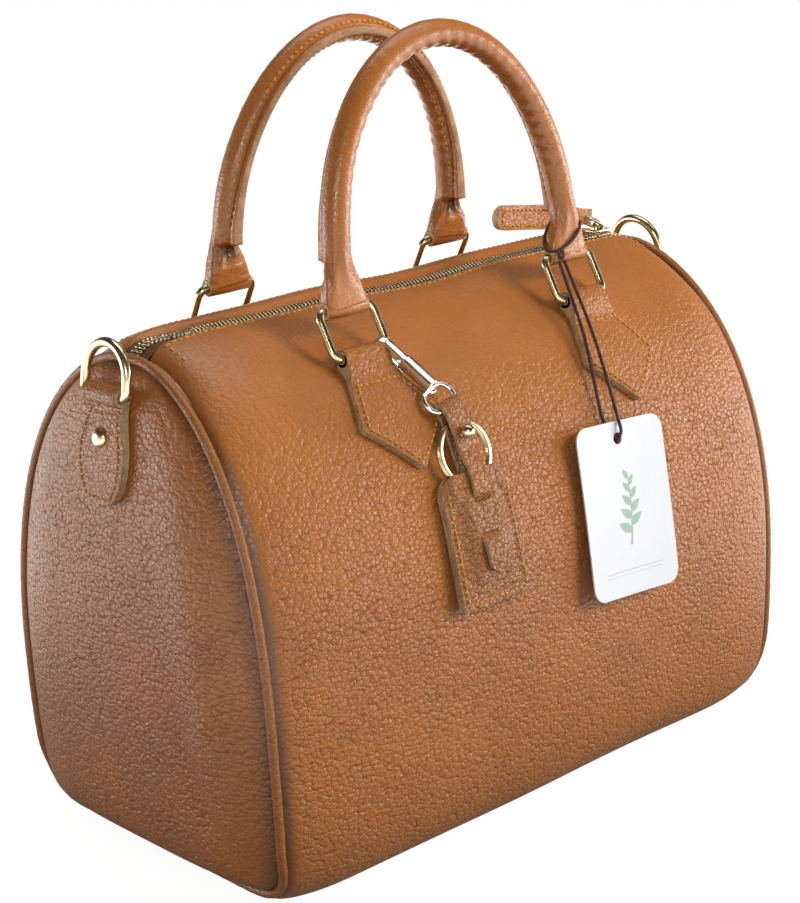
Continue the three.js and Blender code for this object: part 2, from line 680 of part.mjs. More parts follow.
// The middle line of a handle in its own plane, as places along X and up from the ring's bar.
function handleLine(fromHeight, arcSteps) {
  const wide = HANDLE_SPAN / 2 + HANDLE_FLARE;
  const leg = [fromHeight, mix(fromHeight, HANDLE_STRAIGHT, 0.5)]
    .filter((up) => up < HANDLE_STRAIGHT)
    .map((up) => flat(HANDLE_SPAN / 2 + HANDLE_FLARE * Math.min(up / HANDLE_STRAIGHT, 1), up));
  const arch = Array.from({ length: arcSteps + 1 }, (_, i) => {
    const turn = (Math.PI * i) / arcSteps;
    return flat(wide * Math.cos(turn), HANDLE_STRAIGHT + (HANDLE_RISE - HANDLE_STRAIGHT) * Math.sin(turn));
  }).filter((p) => p.y >= fromHeight);
  return [...leg, ...arch, ...leg.map((p) => flat(-p.x, p.y)).reverse()];
}

// Half width across the ring and half thickness of a handle, by its height above the ring's upper bar.
function handleSize(up) {
  const round = smooth(tabLoopRadius, LEG_TAPER, up);
  const grip = mix(LEG_DIAMETER, GRIP_DIAMETER, smooth(LEG_TAPER, HANDLE_RISE, up)) / 2;
  return [mix(LOOP_WIDTH / 2, grip, round), mix(tabLoopRadius, grip, round)];
}

function makeHandle(name, side) {
  const foot = upperBar(side);
  const up = handleUp(side);
  const place = (p) => foot.clone().add(vec(p.x, 0, 0)).addScaledVector(up, p.y);
  const normal = vec(0, 0, 0).crossVectors(vec(1, 0, 0), up);
  const start = RING_WIRE / 2 + LOOP_PLAY + 1;
  const line = handleLine(start, 18);
  const tube = planarTube(line.map(place), normal, (i) => handleSize(line[i].y), 10, false);
  const loops = [LEFT, RIGHT].map((end) =>
    leatherLoop(place(flat((end * HANDLE_SPAN) / 2, 0)), vec(1, 0, 0), LOOP_WIDTH, RING_WIRE, LEATHER),
  );
  // The tube's lower ends stay open on the inner side, where the core was drawn in.
  const coreFrom = 30;
  const mouth = [flat(HANDLE_SPAN / 2 - 14, coreFrom - 14), flat(HANDLE_SPAN / 2 - 5, coreFrom - 8)];
  const inner = handleLine(coreFrom, 16);
  const boreLine = [...mouth, ...inner, ...mouth.map((p) => flat(-p.x, p.y)).reverse()];
  const bore = CORE_DIAMETER / 2 + CLEARANCE;
  const hollow = planarTube(boreLine.map(place), normal, () => [bore, bore], 8, false);
  const body = join(tube, ...loops.map((l) => l.outside));
  add(name, cut(body, hollow, ...loops.map((l) => l.hole)), leather);
  const core = CORE_DIAMETER / 2;
  add(`${name}_core`, planarTube(inner.map(place), normal, () => [core, core], 8, false), rope);
}

function makeHandles() {
  for (const [name, side] of [['front', FRONT], ['rear', REAR]]) {
    for (const [end, sign] of [['left', LEFT], ['right', RIGHT]]) {
      makeTab(`${name}_${end}_tab`, side, (sign * HANDLE_SPAN) / 2);
      makeRing(`${name}_${end}_ring`, side, (sign * HANDLE_SPAN) / 2);
    }
    makeHandle(`${name}_handle`, side);
  }
}

// Strap tabs on the ends

const gussetX = (y, z) => {
  const halfDepth = SEAM_HALF_DEPTH * 0.8;
  return seamX(z) + domeAt(y / halfDepth, z);
};
const strapTabTop = topZ - STRAP_TAB_DROP;
const strapLoopRadius = loopRadius(D_RING_WIRE, LEATHER);
const strapLoopX = gussetX(0, strapTabTop) + strapLoopRadius + 2 * CLEARANCE;
const strapLoop = (side) => vec(side * strapLoopX, 0, strapTabTop);

function strapTabHalfWidth(drop) {
  if (drop <= STRAP_TAB_SHOULDER) {
    return mix(LOOP_WIDTH / 2, STRAP_TAB_WIDTH / 2, smooth(2, STRAP_TAB_SHOULDER, drop));
  }
  const share = (drop - STRAP_TAB_SHOULDER) / (STRAP_TAB_TIP - STRAP_TAB_SHOULDER);
  return mix(STRAP_TAB_TIP_WIDTH / 2, STRAP_TAB_WIDTH / 2, Math.sqrt(1 - share * share));
}

function makeStrapTab(name, side) {
  const drops = [0, 9, 18, STRAP_TAB_SHOULDER, mix(STRAP_TAB_SHOULDER, STRAP_TAB_TIP, 0.6), STRAP_TAB_TIP];
  const stand = 2 * CLEARANCE;
  const grid = (lift) =>
    drops.map((drop) =>
      [-1, -0.4, 0.4, 1].map((share) => {
        const z = strapTabTop - drop;
        return vec(side * (gussetX(0, z) + stand + lift), share * strapTabHalfWidth(drop), z);
      }),
    );
  const sheet = slab(grid(LEATHER), grid(0));
  const middle = strapLoop(side);
  const { outside, hole } = leatherLoop(middle, vec(0, 1, 0), LOOP_WIDTH, D_RING_WIRE, LEATHER);
  const rivetZ = strapTabTop - RIVET_DROP;
  const seat = gussetX(0, rivetZ) + stand;
  const atSeat = (out) => vec(side * (seat + out), 0, rivetZ);
  const rivetHole = bar(atSeat(-4), atSeat(8), RIVET_SHANK / 2 + 2 * CLEARANCE, 12);
  add(`${name}_strap_tab`, cut(join(sheet, outside), hole, rivetHole), leather);
  const dRing = wireLoop(dLoop(D_RING_WIDTH, D_RING_HEIGHT), D_RING_WIRE);
  add(`${name}_d_ring`, dRing, gold, (m) => {
    m.position.copy(middle);
    m.rotation.set(0, -side * radians(D_RING_LEAN), Math.PI / 2, 'YXZ');
  });
  const slope = Math.atan2(gussetX(0, rivetZ - 4) - gussetX(0, rivetZ + 4), 8);
  add(`${name}_tab_rivet`, rivet(LEATHER + CLEARANCE), gold, (m) => {
    m.position.set(side * seat, 0, rivetZ);
    m.rotation.set(0, side * (Math.PI / 2 - slope), 0);
  });
}

// A domed rivet that stands on its shank, with the underside of its head at height grip.
function rivet(grip) {
  const radius = RIVET_HEAD / 2;
  const dome = 3;
  const shank = RIVET_SHANK / 2;
  const profile = [flat(0, 0), flat(shank, 0), flat(shank, grip)];
  profile.push(flat(radius, grip), flat(radius, grip + 0.8));
  for (const angle of [30, 60]) {
    const turn = radians(angle);
    profile.push(flat(radius * Math.cos(turn), grip + 0.8 + (dome - 0.8) * Math.sin(turn)));
  }
  profile.push(flat(0, grip + dome));
  return new THREE.LatheGeometry(profile, 14).rotateX(Math.PI / 2);
}

function makeStrapTabs() {
  makeStrapTab('left', LEFT);
  makeStrapTab('right', RIGHT);
}

// Key fob

const hookedRingX = -HANDLE_SPAN / 2;
const fobEyeX = hookedRingX + FOB_EYE_ACROSS;
const fobX = hookedRingX + FOB_ACROSS;
const hookCorner = radians(HOOK_CORNER);
const hookPoint = lowerBar(FRONT)
  .setX(hookedRingX + RING_WIDTH / 2 - RING_CORNER * (1 - Math.sin(hookCorner)))
  .addScaledVector(ringUp(FRONT), RING_CORNER * (1 - Math.cos(hookCorner)));
const eyeBar = onBody(FRONT, fobEyeX, FOB_EYE_ARC, FOB_EYE_LIFT);
const hookAxis = eyeBar.clone().sub(hookPoint).normalize();
const hookLength = eyeBar.distanceTo(hookPoint) - EYE_HEIGHT - EYE_STEM;
const hookAcross = vec(0, 0, 0).crossVectors(bodyNormal(FRONT, FOB_EYE_ARC), hookAxis).normalize();
const hookOut = vec(0, 0, 0).crossVectors(hookAxis, hookAcross);
const hookSide = vec(0, 0, 0).crossVectors(hookAxis, hookOut);
const hookFrame = new THREE.Matrix4().makeBasis(hookAxis, hookOut, hookSide);

function standOnHook(mesh) {
  mesh.position.copy(hookPoint);
  mesh.quaternion.setFromRotationMatrix(hookFrame);
}

function makeHook() {
  const inner = HOOK_THROAT / 2;
  const outer = inner + HOOK_WALL;
  const groove = -inner + 0.8;
  const wall = 2.2;
  const bend = -0.2;
  const tip = 0.8;
  const shape = new THREE.Shape([
    flat(hookLength, -outer),
    flat(hookLength, outer),
    ...arcPoints(bend, 0, outer, 90, 270, 8),
    flat(tip, -outer),
    flat(tip, -inner),
    ...arcPoints(bend, 0, inner, 270, 90, 8),
    flat(HOOK_OPENING, inner),
    flat(HOOK_OPENING, groove),
    flat(hookLength - wall, groove),
    flat(hookLength - wall, -outer),
  ]);
  const body = prism(shape, -HOOK_THICKNESS / 2, HOOK_THICKNESS / 2);
  const bore = bar(vec(hookLength - 5, 0, 0), vec(hookLength + 1, 0, 0), EYE_STEM / 2 + CLEARANCE, 10);
  const collar = bar(vec(hookLength - 5.6, 0, 0), vec(hookLength, 0, 0), EYE_STEM / 2 + 0.95, 10);
  add('snap_hook', cut(join(body, collar), bore), gold, standOnHook);
  const gateFrom = tip + CLEARANCE;
  const gateTop = groove - CLEARANCE;
  const half = HOOK_THICKNESS / 2;
  const gate = prism(rectangle(gateFrom, -outer, gateFrom + GATE_LENGTH, gateTop), -half, half);
  const thumb = prism(rectangle(HOOK_OPENING - 3, -outer, HOOK_OPENING - 1, gateTop), -half - 2.2, 0);
  add('snap_gate', join(gate, thumb), gold, standOnHook);
  makeEye();
}

function makeEye() {
  const nearBar = hookLength + EYE_STEM;
  const loop = wireLoop(roundedLoop(EYE_WIDTH, EYE_HEIGHT, EYE_CORNER), EYE_WIRE);
  // The loop is drawn in XZ; its lower bar becomes the near bar, and it runs on along the hook.
  const turn = new THREE.Matrix4().makeBasis(vec(0, 0, 1), vec(0, -1, 0), vec(1, 0, 0));
  const flatLoop = join(loop.applyMatrix4(turn.setPosition(nearBar, 0, 0)).toNonIndexed());
  const stem = bar(vec(hookLength - 4.4, 0, 0), vec(nearBar, 0, 0), EYE_STEM / 2, 10);
  add('swivel_eye', join(flatLoop, stem), gold, standOnHook);
}

// The fob's middle line on the body: it leaves the eye in line with the hook and then hangs straight down.
const fobBend = new THREE.QuadraticBezierCurve(
  flat(fobEyeX, FOB_EYE_ARC),
  flat(fobX, FOB_EYE_ARC + 9),
  flat(fobX, FOB_EYE_ARC + FOB_TOP),
);

function onFob(along, across, lift) {
  const length = fobBend.getLength();
  const share = Math.min(Math.max(along / length, 0), 1);
  const p = fobBend.getPointAt(share);
  const t = fobBend.getTangentAt(share);
  const over = along - share * length;
  const x = p.x + t.x * over + t.y * across;
  const arc = p.y + t.y * over - t.x * across;
  const rise = (FOB_EYE_LIFT - FOB_LIFT) * (1 - smooth(0, FOB_SETTLE, along));
  const lowerPart = Math.max(along / FOB_LENGTH - 0.6, 0) / 0.4;
  return onBody(FRONT, x, arc, lift + rise + FOB_STAND * lowerPart * lowerPart);
}

const halfLeather = FOB_LEATHER / 2;
const foldRadius = EYE_WIRE / 2 + LOOP_PLAY + halfLeather;
const backLift = FOB_LIFT - foldRadius;
const frontLift = FOB_LIFT + foldRadius;
const underLift = backLift + FOB_LEATHER + CLEARANCE;
const panelLift = FOB_LIFT + KEY_RING_THICKNESS / 2 + 1.5 * CLEARANCE + halfLeather;
const overLift = panelLift + FOB_LEATHER + CLEARANCE;

// The strap's own line, as places along the fob and lifts: from its tip, through the tag's two slots, up the
// front, over the eye's bar and down the back.
function strapLine() {
  const dive = [
    flat(0, overLift),
    flat(1, overLift - 0.3),
    flat(SLOT_LENGTH - 1, underLift + 0.3),
    flat(SLOT_LENGTH, underLift),
  ];
  const fold = [0, 45, 90, 135, 180].map((angle) => {
    const turn = radians(90 + angle);
    return flat(foldRadius * Math.cos(turn), FOB_LIFT + foldRadius * Math.sin(turn));
  });
  return [
    flat(STRAP_TIP, overLift),
    ...dive.map((p) => flat(LOWER_SLOT - p.x, p.y)),
    ...dive.map((p) => flat(UPPER_SLOT - SLOT_LENGTH + p.x, p.y)).reverse(),
    flat(FOB_TOP - 1, overLift),
    flat(FOB_TOP - 8, frontLift),
    flat(FOB_TOP * 0.55, frontLift),
    flat(FOB_TOP * 0.25, frontLift),
    ...fold,
    flat(FOB_TOP * 0.25, backLift),
    flat(FOB_TOP * 0.55, backLift),
    flat(FOB_TOP - 6, backLift),
    flat(FOB_TOP + FOB_SHOULDER, backLift),
  ];
}

// A ribbon along the strap's line.
function strapRibbon(thickness, width) {
  const line = strapLine();
  const rows = [1, -1].map((face) =>
    line.map((p, i) => {
      const before = line[Math.max(i - 1, 0)];
      const after = line[Math.min(i + 1, line.length - 1)];
      const t = after.clone().sub(before).normalize();
      const q = flat(p.x + (face * t.y * thickness) / 2, p.y - (face * t.x * thickness) / 2);
      return [-1, 1].map((side) => onFob(q.x, (side * width) / 2, q.y));
    }),
  );
  return slab(rows[0], rows[1]);
}

function tagHalfWidth(along) {
  const share = Math.min((along - FOB_TOP) / FOB_SHOULDER, 1);
  return mix(FOB_WIDTH / 2 - 8, FOB_WIDTH / 2, share);
}

// A panel of the tag between two lifts. rise lifts its middle where the strap runs under it, and all of its
// upper part, where the key ring is, as far as mouth.
function tagPanel(from, lift, rise, mouth) {
  const middleRow = Math.max(mouth + 6.4, mix(from, FOB_LENGTH, 0.3));
  const alongs = [from, from + FOB_SHOULDER, mouth, middleRow, FOB_LENGTH - 14, FOB_LENGTH];
  const shares = [-1, -0.72, -0.5, 0.5, 0.72, 1];
  const grid = (extra) =>
    alongs.map((along) =>
      shares.map((share) => {
        const middle = Math.abs(share) < 0.6 || along <= mouth ? 1 : 0;
        const fade = along > FOB_LENGTH - 13 ? 0 : 1;
        return onFob(along, share * tagHalfWidth(along), lift + rise * middle * fade + extra);
      }),
    );
  return slab(grid(halfLeather), grid(-halfLeather));
}

// The room that a slot takes out of the tag's front.
function slotRoom(from) {
  const half = FOB_STRAP_WIDTH / 2 + 2 * CLEARANCE;
  const grid = (lift) =>
    [from - CLEARANCE, from + SLOT_LENGTH + CLEARANCE].map((along) =>
      [-half, half].map((across) => onFob(along, across, panelLift + lift)),
    );
  return slab(grid(2), grid(-2));
}

function makeFob() {
  const mouth = KEY_RING_PLACE + KEY_RING_DIAMETER / 2 + KEY_RING_BAND;
  const studHole = bar(onFob(STUD_PLACE, 0, 0), onFob(STUD_PLACE, 0, 14), STUD_SHANK / 2 + CLEARANCE, 12);
  const strap = join(strapRibbon(FOB_LEATHER, FOB_STRAP_WIDTH), tagPanel(FOB_TOP, backLift, 0, mouth));
  add('fob_strap', cut(strap, studHole), leather);
  const panel = tagPanel(FOB_TOP + 1, underLift, panelLift - underLift, mouth);
  const slots = [UPPER_SLOT, LOWER_SLOT].map((end) => slotRoom(end - SLOT_LENGTH));
  add('fob_front', cut(panel, ...slots), leather);
  makeStud();
  makeKeyRing();
}

function makeStud() {
  const low = onFob(STUD_PLACE, 0, backLift - halfLeather - 2 * CLEARANCE - 0.5);
  const up = onFob(STUD_PLACE, 0, frontLift).sub(low);
  const top = up.length() + halfLeather + CLEARANCE;
  const shank = STUD_SHANK / 2;
  const ball = STUD_BALL / 2;
  const foot = [flat(0, 0), flat(shank + 1.2, 0), flat(shank + 1.2, 0.5)];
  const profile = [...foot, flat(shank, 0.5), flat(shank, top)];
  for (const angle of [-45, -15, 15, 45, 70]) {
    profile.push(flat(ball * Math.cos(radians(angle)), top + ball * (1 + Math.sin(radians(angle)))));
  }
  profile.push(flat(0, top + 2 * ball));
  add('fob_stud', new THREE.LatheGeometry(profile, 12), gold, (m) => {
    m.position.copy(low);
    m.quaternion.setFromUnitVectors(vec(0, 1, 0), up.normalize());
  });
}

const keyRingTop = onFob(KEY_RING_PLACE - KEY_RING_DIAMETER / 2, 0, FOB_LIFT);
const keyRingBottom = onFob(KEY_RING_PLACE + KEY_RING_DIAMETER / 2, 0, FOB_LIFT);
const keyRingMiddle = keyRingTop.clone().add(keyRingBottom).multiplyScalar(0.5);
const keyRingDown = keyRingBottom.clone().sub(keyRingTop).normalize();
const keyRingAxis = vec(0, 0, 0).crossVectors(vec(1, 0, 0), keyRingDown).normalize();

function makeKeyRing() {
  const across = vec(0, 0, 0).crossVectors(keyRingDown, keyRingAxis);
  const steps = 24;
  const path = Array.from({ length: steps }, (_, i) => {
    const turn = (2 * Math.PI * i) / steps;
    const radius = KEY_RING_DIAMETER / 2;
    return keyRingMiddle
      .clone()
      .addScaledVector(keyRingDown, radius * Math.cos(turn))
      .addScaledVector(across, radius * Math.sin(turn));
  });
  const square = Math.SQRT2;
  const size = () => [(KEY_RING_BAND / 2) * square, (KEY_RING_THICKNESS / 2) * square];
  add('key_ring', planarTube(path, keyRingAxis, size, 4, true), gold);
}

// Hang tag

const tagHandle = upperBar(FRONT).setX(HANDLE_SPAN / 2);
const knotLevel = tagHandle.clone().addScaledVector(handleUp(FRONT), KNOT_RISE);
const handleFront = vec(0, 0, 0).crossVectors(vec(1, 0, 0), handleUp(FRONT));

function makeHangTag() {
  const stand = CORD_DIAMETER / 2 + 3 * CLEARANCE;
  const [wide, deep] = handleSize(KNOT_RISE - CORD_DIAMETER).map((half) => half + stand);
  const steps = 20;
  const loop = Array.from({ length: steps }, (_, i) => {
    const turn = (2 * Math.PI * i) / steps;
    return knotLevel
      .clone()
      .add(vec(wide * Math.cos(turn), 0, 0))
      .addScaledVector(handleFront, deep * Math.sin(turn));
  });
  const wire = () => [CORD_DIAMETER / 2, CORD_DIAMETER / 2];
  add('tag_cord_loop', planarTube(loop, handleUp(FRONT), wire, CORD_SIDES, true), cordBrown);
  add('tag_knot', new THREE.IcosahedronGeometry(KNOT_DIAMETER / 2, 1), cordBrown, (m) => {
    m.position.copy(knotMiddle(wide, deep));
  });
  makeCard();
  makeCord(knotMiddle(wide, deep));
}

// The knot lies on the outside of the loop, whose half sizes are given.
function knotMiddle(wide, deep) {
  const depth = deep * Math.sqrt(1 - (KNOT_ACROSS / wide) ** 2);
  const out = flat(-KNOT_ACROSS / wide ** 2, depth / deep ** 2).normalize();
  out.multiplyScalar(CORD_DIAMETER / 2 + CLEARANCE + KNOT_DIAMETER / 2);
  const place = knotLevel.clone().add(vec(out.x - KNOT_ACROSS, 0, 0));
  return place.addScaledVector(handleFront, depth + out.y);
}

const cardX = HANDLE_SPAN / 2 - CARD_ACROSS;
const cardTop = onBody(FRONT, cardX, CARD_TOP_ARC, CARD_TOP_LIFT);
const cardSlope = cardTop.clone().sub(onBody(FRONT, cardX, CARD_BOTTOM_ARC, CARD_BOTTOM_LIFT)).normalize();
const cardOut = vec(0, 0, 0).crossVectors(vec(1, 0, 0), cardSlope);
const cardAcross = vec(1, 0, 0).applyAxisAngle(cardOut, -radians(CARD_TURN));
const cardUp = cardSlope.clone().applyAxisAngle(cardOut, -radians(CARD_TURN));

function onCard(across, drop, out) {
  const place = cardTop.clone().addScaledVector(cardAcross, across);
  return place.addScaledVector(cardUp, -drop).addScaledVector(cardOut, out);
}

function makeCard() {
  const half = CARD_WIDTH / 2 - CARD_CORNER;
  const corners = [
    [half, CARD_CORNER - CARD_LENGTH, -90],
    [half, -CARD_CORNER, 0],
    [-half, -CARD_CORNER, 90],
    [-half, CARD_CORNER - CARD_LENGTH, 180],
  ];
  const outline = corners.flatMap(([x, y, from]) => arcPoints(x, y, CARD_CORNER, from, from + 90, 4));
  const shape = new THREE.Shape(outline);
  shape.holes.push(roundHole(CARD_HOLE_X, -CARD_HOLE_DROP, CARD_HOLE_DIAMETER / 2));
  add('hang_tag_card', prism(shape, -CARD_THICKNESS / 2, CARD_THICKNESS / 2), card, (m) => {
    m.position.copy(cardTop);
    m.quaternion.setFromRotationMatrix(new THREE.Matrix4().makeBasis(cardAcross, cardUp, cardOut));
  });
}

// One cord: from the knot over the card's upper edge, through the hole and up behind the card to the knot.
function makeCord(knot) {
  const hole = CARD_HOLE_X;
  const stand = 2.6;
  const edge = CORD_DIAMETER / 2 + CARD_THICKNESS / 2 + CLEARANCE;
  const points = [
    knot.clone().add(vec(-1.3, -0.8, -3)),
    knot.clone().lerp(onCard(hole - 1.4, 0, edge), 0.5).add(vec(-0.7, -CORD_BOW, 0)),
    onCard(hole - 1.4, 0, edge),
    onCard(hole - 0.8, CARD_HOLE_DROP - 3, stand),
    onCard(hole, CARD_HOLE_DROP + 0.8, 0),
    onCard(hole + 0.8, CARD_HOLE_DROP - 3, -stand),
    onCard(hole + 1.4, -2, -stand - 0.6),
    knot.clone().lerp(onCard(hole + 1.4, -2, -stand), 0.5).add(vec(0.9, -CORD_BOW, 0)),
    knot.clone().add(vec(1.5, 0.2, -3)),
  ];
  const path = new THREE.CatmullRomCurve3(points, false, 'centripetal');
  const section = Array.from({ length: CORD_SIDES }, (_, i) => {
    const turn = (2 * Math.PI * i) / CORD_SIDES;
    return flat((CORD_DIAMETER / 2) * Math.cos(turn), (CORD_DIAMETER / 2) * Math.sin(turn));
  });
  const cord = new THREE.ExtrudeGeometry(new THREE.Shape(section), { steps: CORD_STEPS, extrudePath: path });
  add('tag_cord', cord, cordBrown);
}

makeBody();
makeEnds();
makeZipFlaps();
makeZipEnds();
makeSlider();
makePull();
makeHandles();
makeStrapTabs();
makeHook();
makeFob();
makeHangTag();

export default bag;
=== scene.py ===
"""Dresses a zip-top barrel handbag: pebbled leather, piping, rolled handles, zip, key fob and hang tag."""
import math

import bmesh
import bpy
import numpy as np
from mathutils import Matrix, Vector


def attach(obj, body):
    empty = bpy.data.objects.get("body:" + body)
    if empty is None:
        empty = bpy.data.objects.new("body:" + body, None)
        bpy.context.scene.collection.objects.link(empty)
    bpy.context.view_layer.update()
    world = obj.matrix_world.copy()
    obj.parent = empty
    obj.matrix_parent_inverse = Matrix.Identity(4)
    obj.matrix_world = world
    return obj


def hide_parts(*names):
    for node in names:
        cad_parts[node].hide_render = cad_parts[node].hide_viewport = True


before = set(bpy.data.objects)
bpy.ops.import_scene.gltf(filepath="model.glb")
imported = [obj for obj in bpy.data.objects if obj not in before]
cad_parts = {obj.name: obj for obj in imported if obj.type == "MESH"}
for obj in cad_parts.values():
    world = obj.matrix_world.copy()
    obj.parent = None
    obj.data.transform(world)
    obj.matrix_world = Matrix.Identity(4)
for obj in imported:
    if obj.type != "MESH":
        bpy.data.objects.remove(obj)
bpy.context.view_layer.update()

# Sizes are in millimetres in the making functions, and every mesh is made in metres.
MM = 0.001
LEFT, RIGHT, FRONT, REAR = -1, 1, -1, 1
ENDS = (("left", LEFT), ("right", RIGHT))
WALLS = (("front", FRONT), ("rear", REAR))
X_AXIS, Y_AXIS, Z_AXIS = np.eye(3)

SEAM_LENGTH = 320  # between the seams of the two ends, at their foot
SEAM_HEIGHT = 229
HALF_DEPTH = 91.2
WIDEST = 73  # height at which the bag is deepest
BASE_FLAT = 60  # half of the flat base's depth
SLOT = 8  # from the middle of the zip to the seam's outline
LEAN = 3.5  # of an end's seam, inwards at the top
BOW = 4.7  # of an end's seam, outwards halfway up
BULGE = 5  # of the leather past the seam's outline
BULGE_RUN = 45  # from a seam to the full bulge
BULGE_POWER = 2.5
DOME = 13  # of an end panel
LEATHER = 2
CLOTH = 0.8
RING_WIRE = 3.5
RING_LOOK = 3.8  # the rings' wire as it is shown
LOOP_RADIUS = RING_WIRE / 2 + 0.5 + LEATHER
SPAN = 140  # between the feet of a handle
MOUTH = 121.8  # from the middle to each end of the zip's opening
SLIDER_X = 138  # the slider when the zip is shut
SLIDE = 270


# Camera: fitted to the photograph

CAMERA_ANGLES = (42.38, 16.54, -2.57)  # azimuth, elevation and roll in degrees
CAMERA_AIM = (-4.38, 0.07, 155.24)
CAMERA_AWAY = 1.02009  # in metres
CAMERA_LENS, CAMERA_SENSOR = 85.46, 36
CAMERA_NEAR = 0.05


def make_camera():
    azimuth, elevation, roll = (math.radians(a) for a in CAMERA_ANGLES)
    back = Vector((-math.sin(azimuth) * math.cos(elevation), -math.cos(azimuth) * math.cos(elevation),
                   math.sin(elevation)))
    right = (-back).cross(Vector((0, 0, 1))).normalized()
    up = right.cross(-back)
    across = right * math.cos(roll) + up * math.sin(roll)
    above = up * math.cos(roll) - right * math.sin(roll)
    eye = Vector(CAMERA_AIM) * MM + back * CAMERA_AWAY
    data = bpy.data.cameras.new("camera")
    data.sensor_fit = "AUTO"
    data.sensor_width = CAMERA_SENSOR
    data.lens = CAMERA_LENS
    data.clip_start = CAMERA_NEAR
    camera = bpy.data.objects.new("camera", data)
    bpy.context.scene.collection.objects.link(camera)
    turn = Matrix((across, above, back)).transposed()
    camera.matrix_world = Matrix.Translation(eye) @ turn.to_4x4()
    bpy.context.scene.camera = camera


# Numbers

def mix(a, b, t):
    return a + (b - a) * t


def smooth(low, high, value):
    """A soft step from 0 at low to 1 at high."""
    t = np.clip((np.asarray(value, float) - low) / (high - low), 0, 1)
    return t * t * (3 - 2 * t)


def bell(distance, width):
    """A soft hump that is 1 where the distance is 0."""
    return np.exp(-((distance / width) ** 2))


def by_height(z, table):
    """A value between those of a table of heights and values."""
    heights, values = zip(*table)
    return np.interp(z, heights, values)


def unit(v):
    v = np.asarray(v, float)
    return v / np.linalg.norm(v, axis=-1, keepdims=True)


def full_turn(count):
    return np.linspace(0, 2 * np.pi, count, endpoint=False)


def spread(*parts):
    """The parts as arrays of one shape."""
    return np.broadcast_arrays(*(np.asarray(p, float) for p in parts))


def joined(*parts):
    """Points from coordinates, each a number or an array."""
    return np.stack(spread(*parts), -1)


def bezier(points, count):
    p0, p1, p2, p3 = (np.array(p, float) for p in points)
    t = np.linspace(0, 1, count)[:, None]
    return (1 - t) ** 3 * p0 + 3 * (1 - t) ** 2 * t * p1 + 3 * (1 - t) * t * t * p2 + t ** 3 * p3


def length_along(path):
    steps = np.linalg.norm(np.diff(path, axis=0), axis=1)
    return np.concatenate([[0], np.cumsum(steps)])


def resample(path, count, closed=False):
    """Points at equal steps along a path."""
    path = np.asarray(path, float)
    if closed:
        path = np.concatenate([path, path[:1]])
    along = length_along(path)
    at = np.linspace(0, along[-1], count + 1)[:-1] if closed else np.linspace(0, along[-1], count)
    return joined(*(np.interp(at, along, path[:, k]) for k in range(path.shape[1])))


def arc_points(x, y, radius, start, end, steps):
    angle = np.radians(np.linspace(start, end, steps + 1))
    return [(x + radius * math.cos(a), y + radius * math.sin(a)) for a in angle]


def ripple(a, b, seed):
    """A soft uneven wave between -1 and 1 over two lengths in millimetres."""
    s = seed * 1.7
    broad = np.sin(a / 41 + b / 57 + s) * np.sin(b / 33 - a / 90 + 2 * s)
    fine = np.sin(a / 19 - b / 27 + 3 * s) * np.sin(b / 23 + s)
    return (broad + 0.5 * fine) / 1.5


# The bag's own shape

GROOVE_DEPTH, GROOVE_WIDTH = 2.5, 3.8  # of the dip beside the piping
ZIP_HANG, ZIP_HANG_RUN = 1.5, 150
ZIP_WAVE, ZIP_WAVE_STEP, ZIP_WAVE_AT, ZIP_WAVE_RUN = 0.8, 17, -20, 90
ZIP_END_DROP, ZIP_END_RUN = 7, (140, 158)  # where the zip goes down over the ends
SLACK = 0.8  # of the leather's soft waves
LIP_MIDDLE = (95, 116)  # from here to here the lip changes from its middle to its ends
LIP_RISE = {FRONT: (0.8, 0.5), REAR: (1.8, 2.4)}  # at the ends and in the middle
LIP_RISE_RUN = 22
LIP_REACH, LIP_REACH_RUN = (2.6, 4.3), 9  # over the zip, at the ends and in the middle
SAG_RUN = (4, 70)
DOME_FADE_ABOVE, DOME_FADE_BELOW = 5, 13
# Heights, with the place in from the front seam and the height of an end panel's folds
RIDGE_PLACE = ((10, 3), (15, 7), (40, 21), (72, 31), (110, 35), (150, 33), (190, 25))
RIDGE_HEIGHT = ((8, 0), (15, 1.6), (40, 3.0), (75, 3.6), (120, 3.4), (165, 2.2), (205, 0))
RIDGE_WIDTH = 13
CREASE_PLACE = ((10, 6), (15, 13), (40, 34), (72, 48), (110, 54))
CREASE_DEPTH = ((8, 0), (16, 2.2), (40, 2.4), (75, 1.1), (110, 0))
CREASE_WIDTH = 6.5
RIGHT_FOLD_SHARE = 0.6
END_SLACK = 0.9


def make_half_outline():
    arch = bezier([(SLOT, SEAM_HEIGHT), (mix(SLOT, HALF_DEPTH, 0.1), SEAM_HEIGHT),
                   (HALF_DEPTH, mix(WIDEST, SEAM_HEIGHT, 0.9)), (HALF_DEPTH, WIDEST)], 800)
    corner = bezier([(HALF_DEPTH, WIDEST), (HALF_DEPTH, 0.2 * WIDEST), (HALF_DEPTH, 0), (BASE_FLAT, 0)], 500)
    base = joined(np.linspace(BASE_FLAT, 0, 60), 0)
    path = np.concatenate([arch, corner[1:], base[1:]])
    tangent = unit(np.gradient(path, axis=0))
    normal = joined(-tangent[:, 1], tangent[:, 0])
    return length_along(path), path, normal


OUT_ARC, OUT_PATH, OUT_NORMAL = make_half_outline()
HALF_GIRTH = OUT_ARC[-1]


def outline(arc):
    """Depth, height and outward normal on the seam's outline, arc millimetres down from the zip's edge."""
    return [np.interp(arc, OUT_ARC, part) for part in (*OUT_PATH.T, *OUT_NORMAL.T)]


def seam_x(z):
    share = (z - BULGE) / SEAM_HEIGHT
    return SEAM_LENGTH / 2 - LEAN * share + BOW * 4 * share * (1 - share)


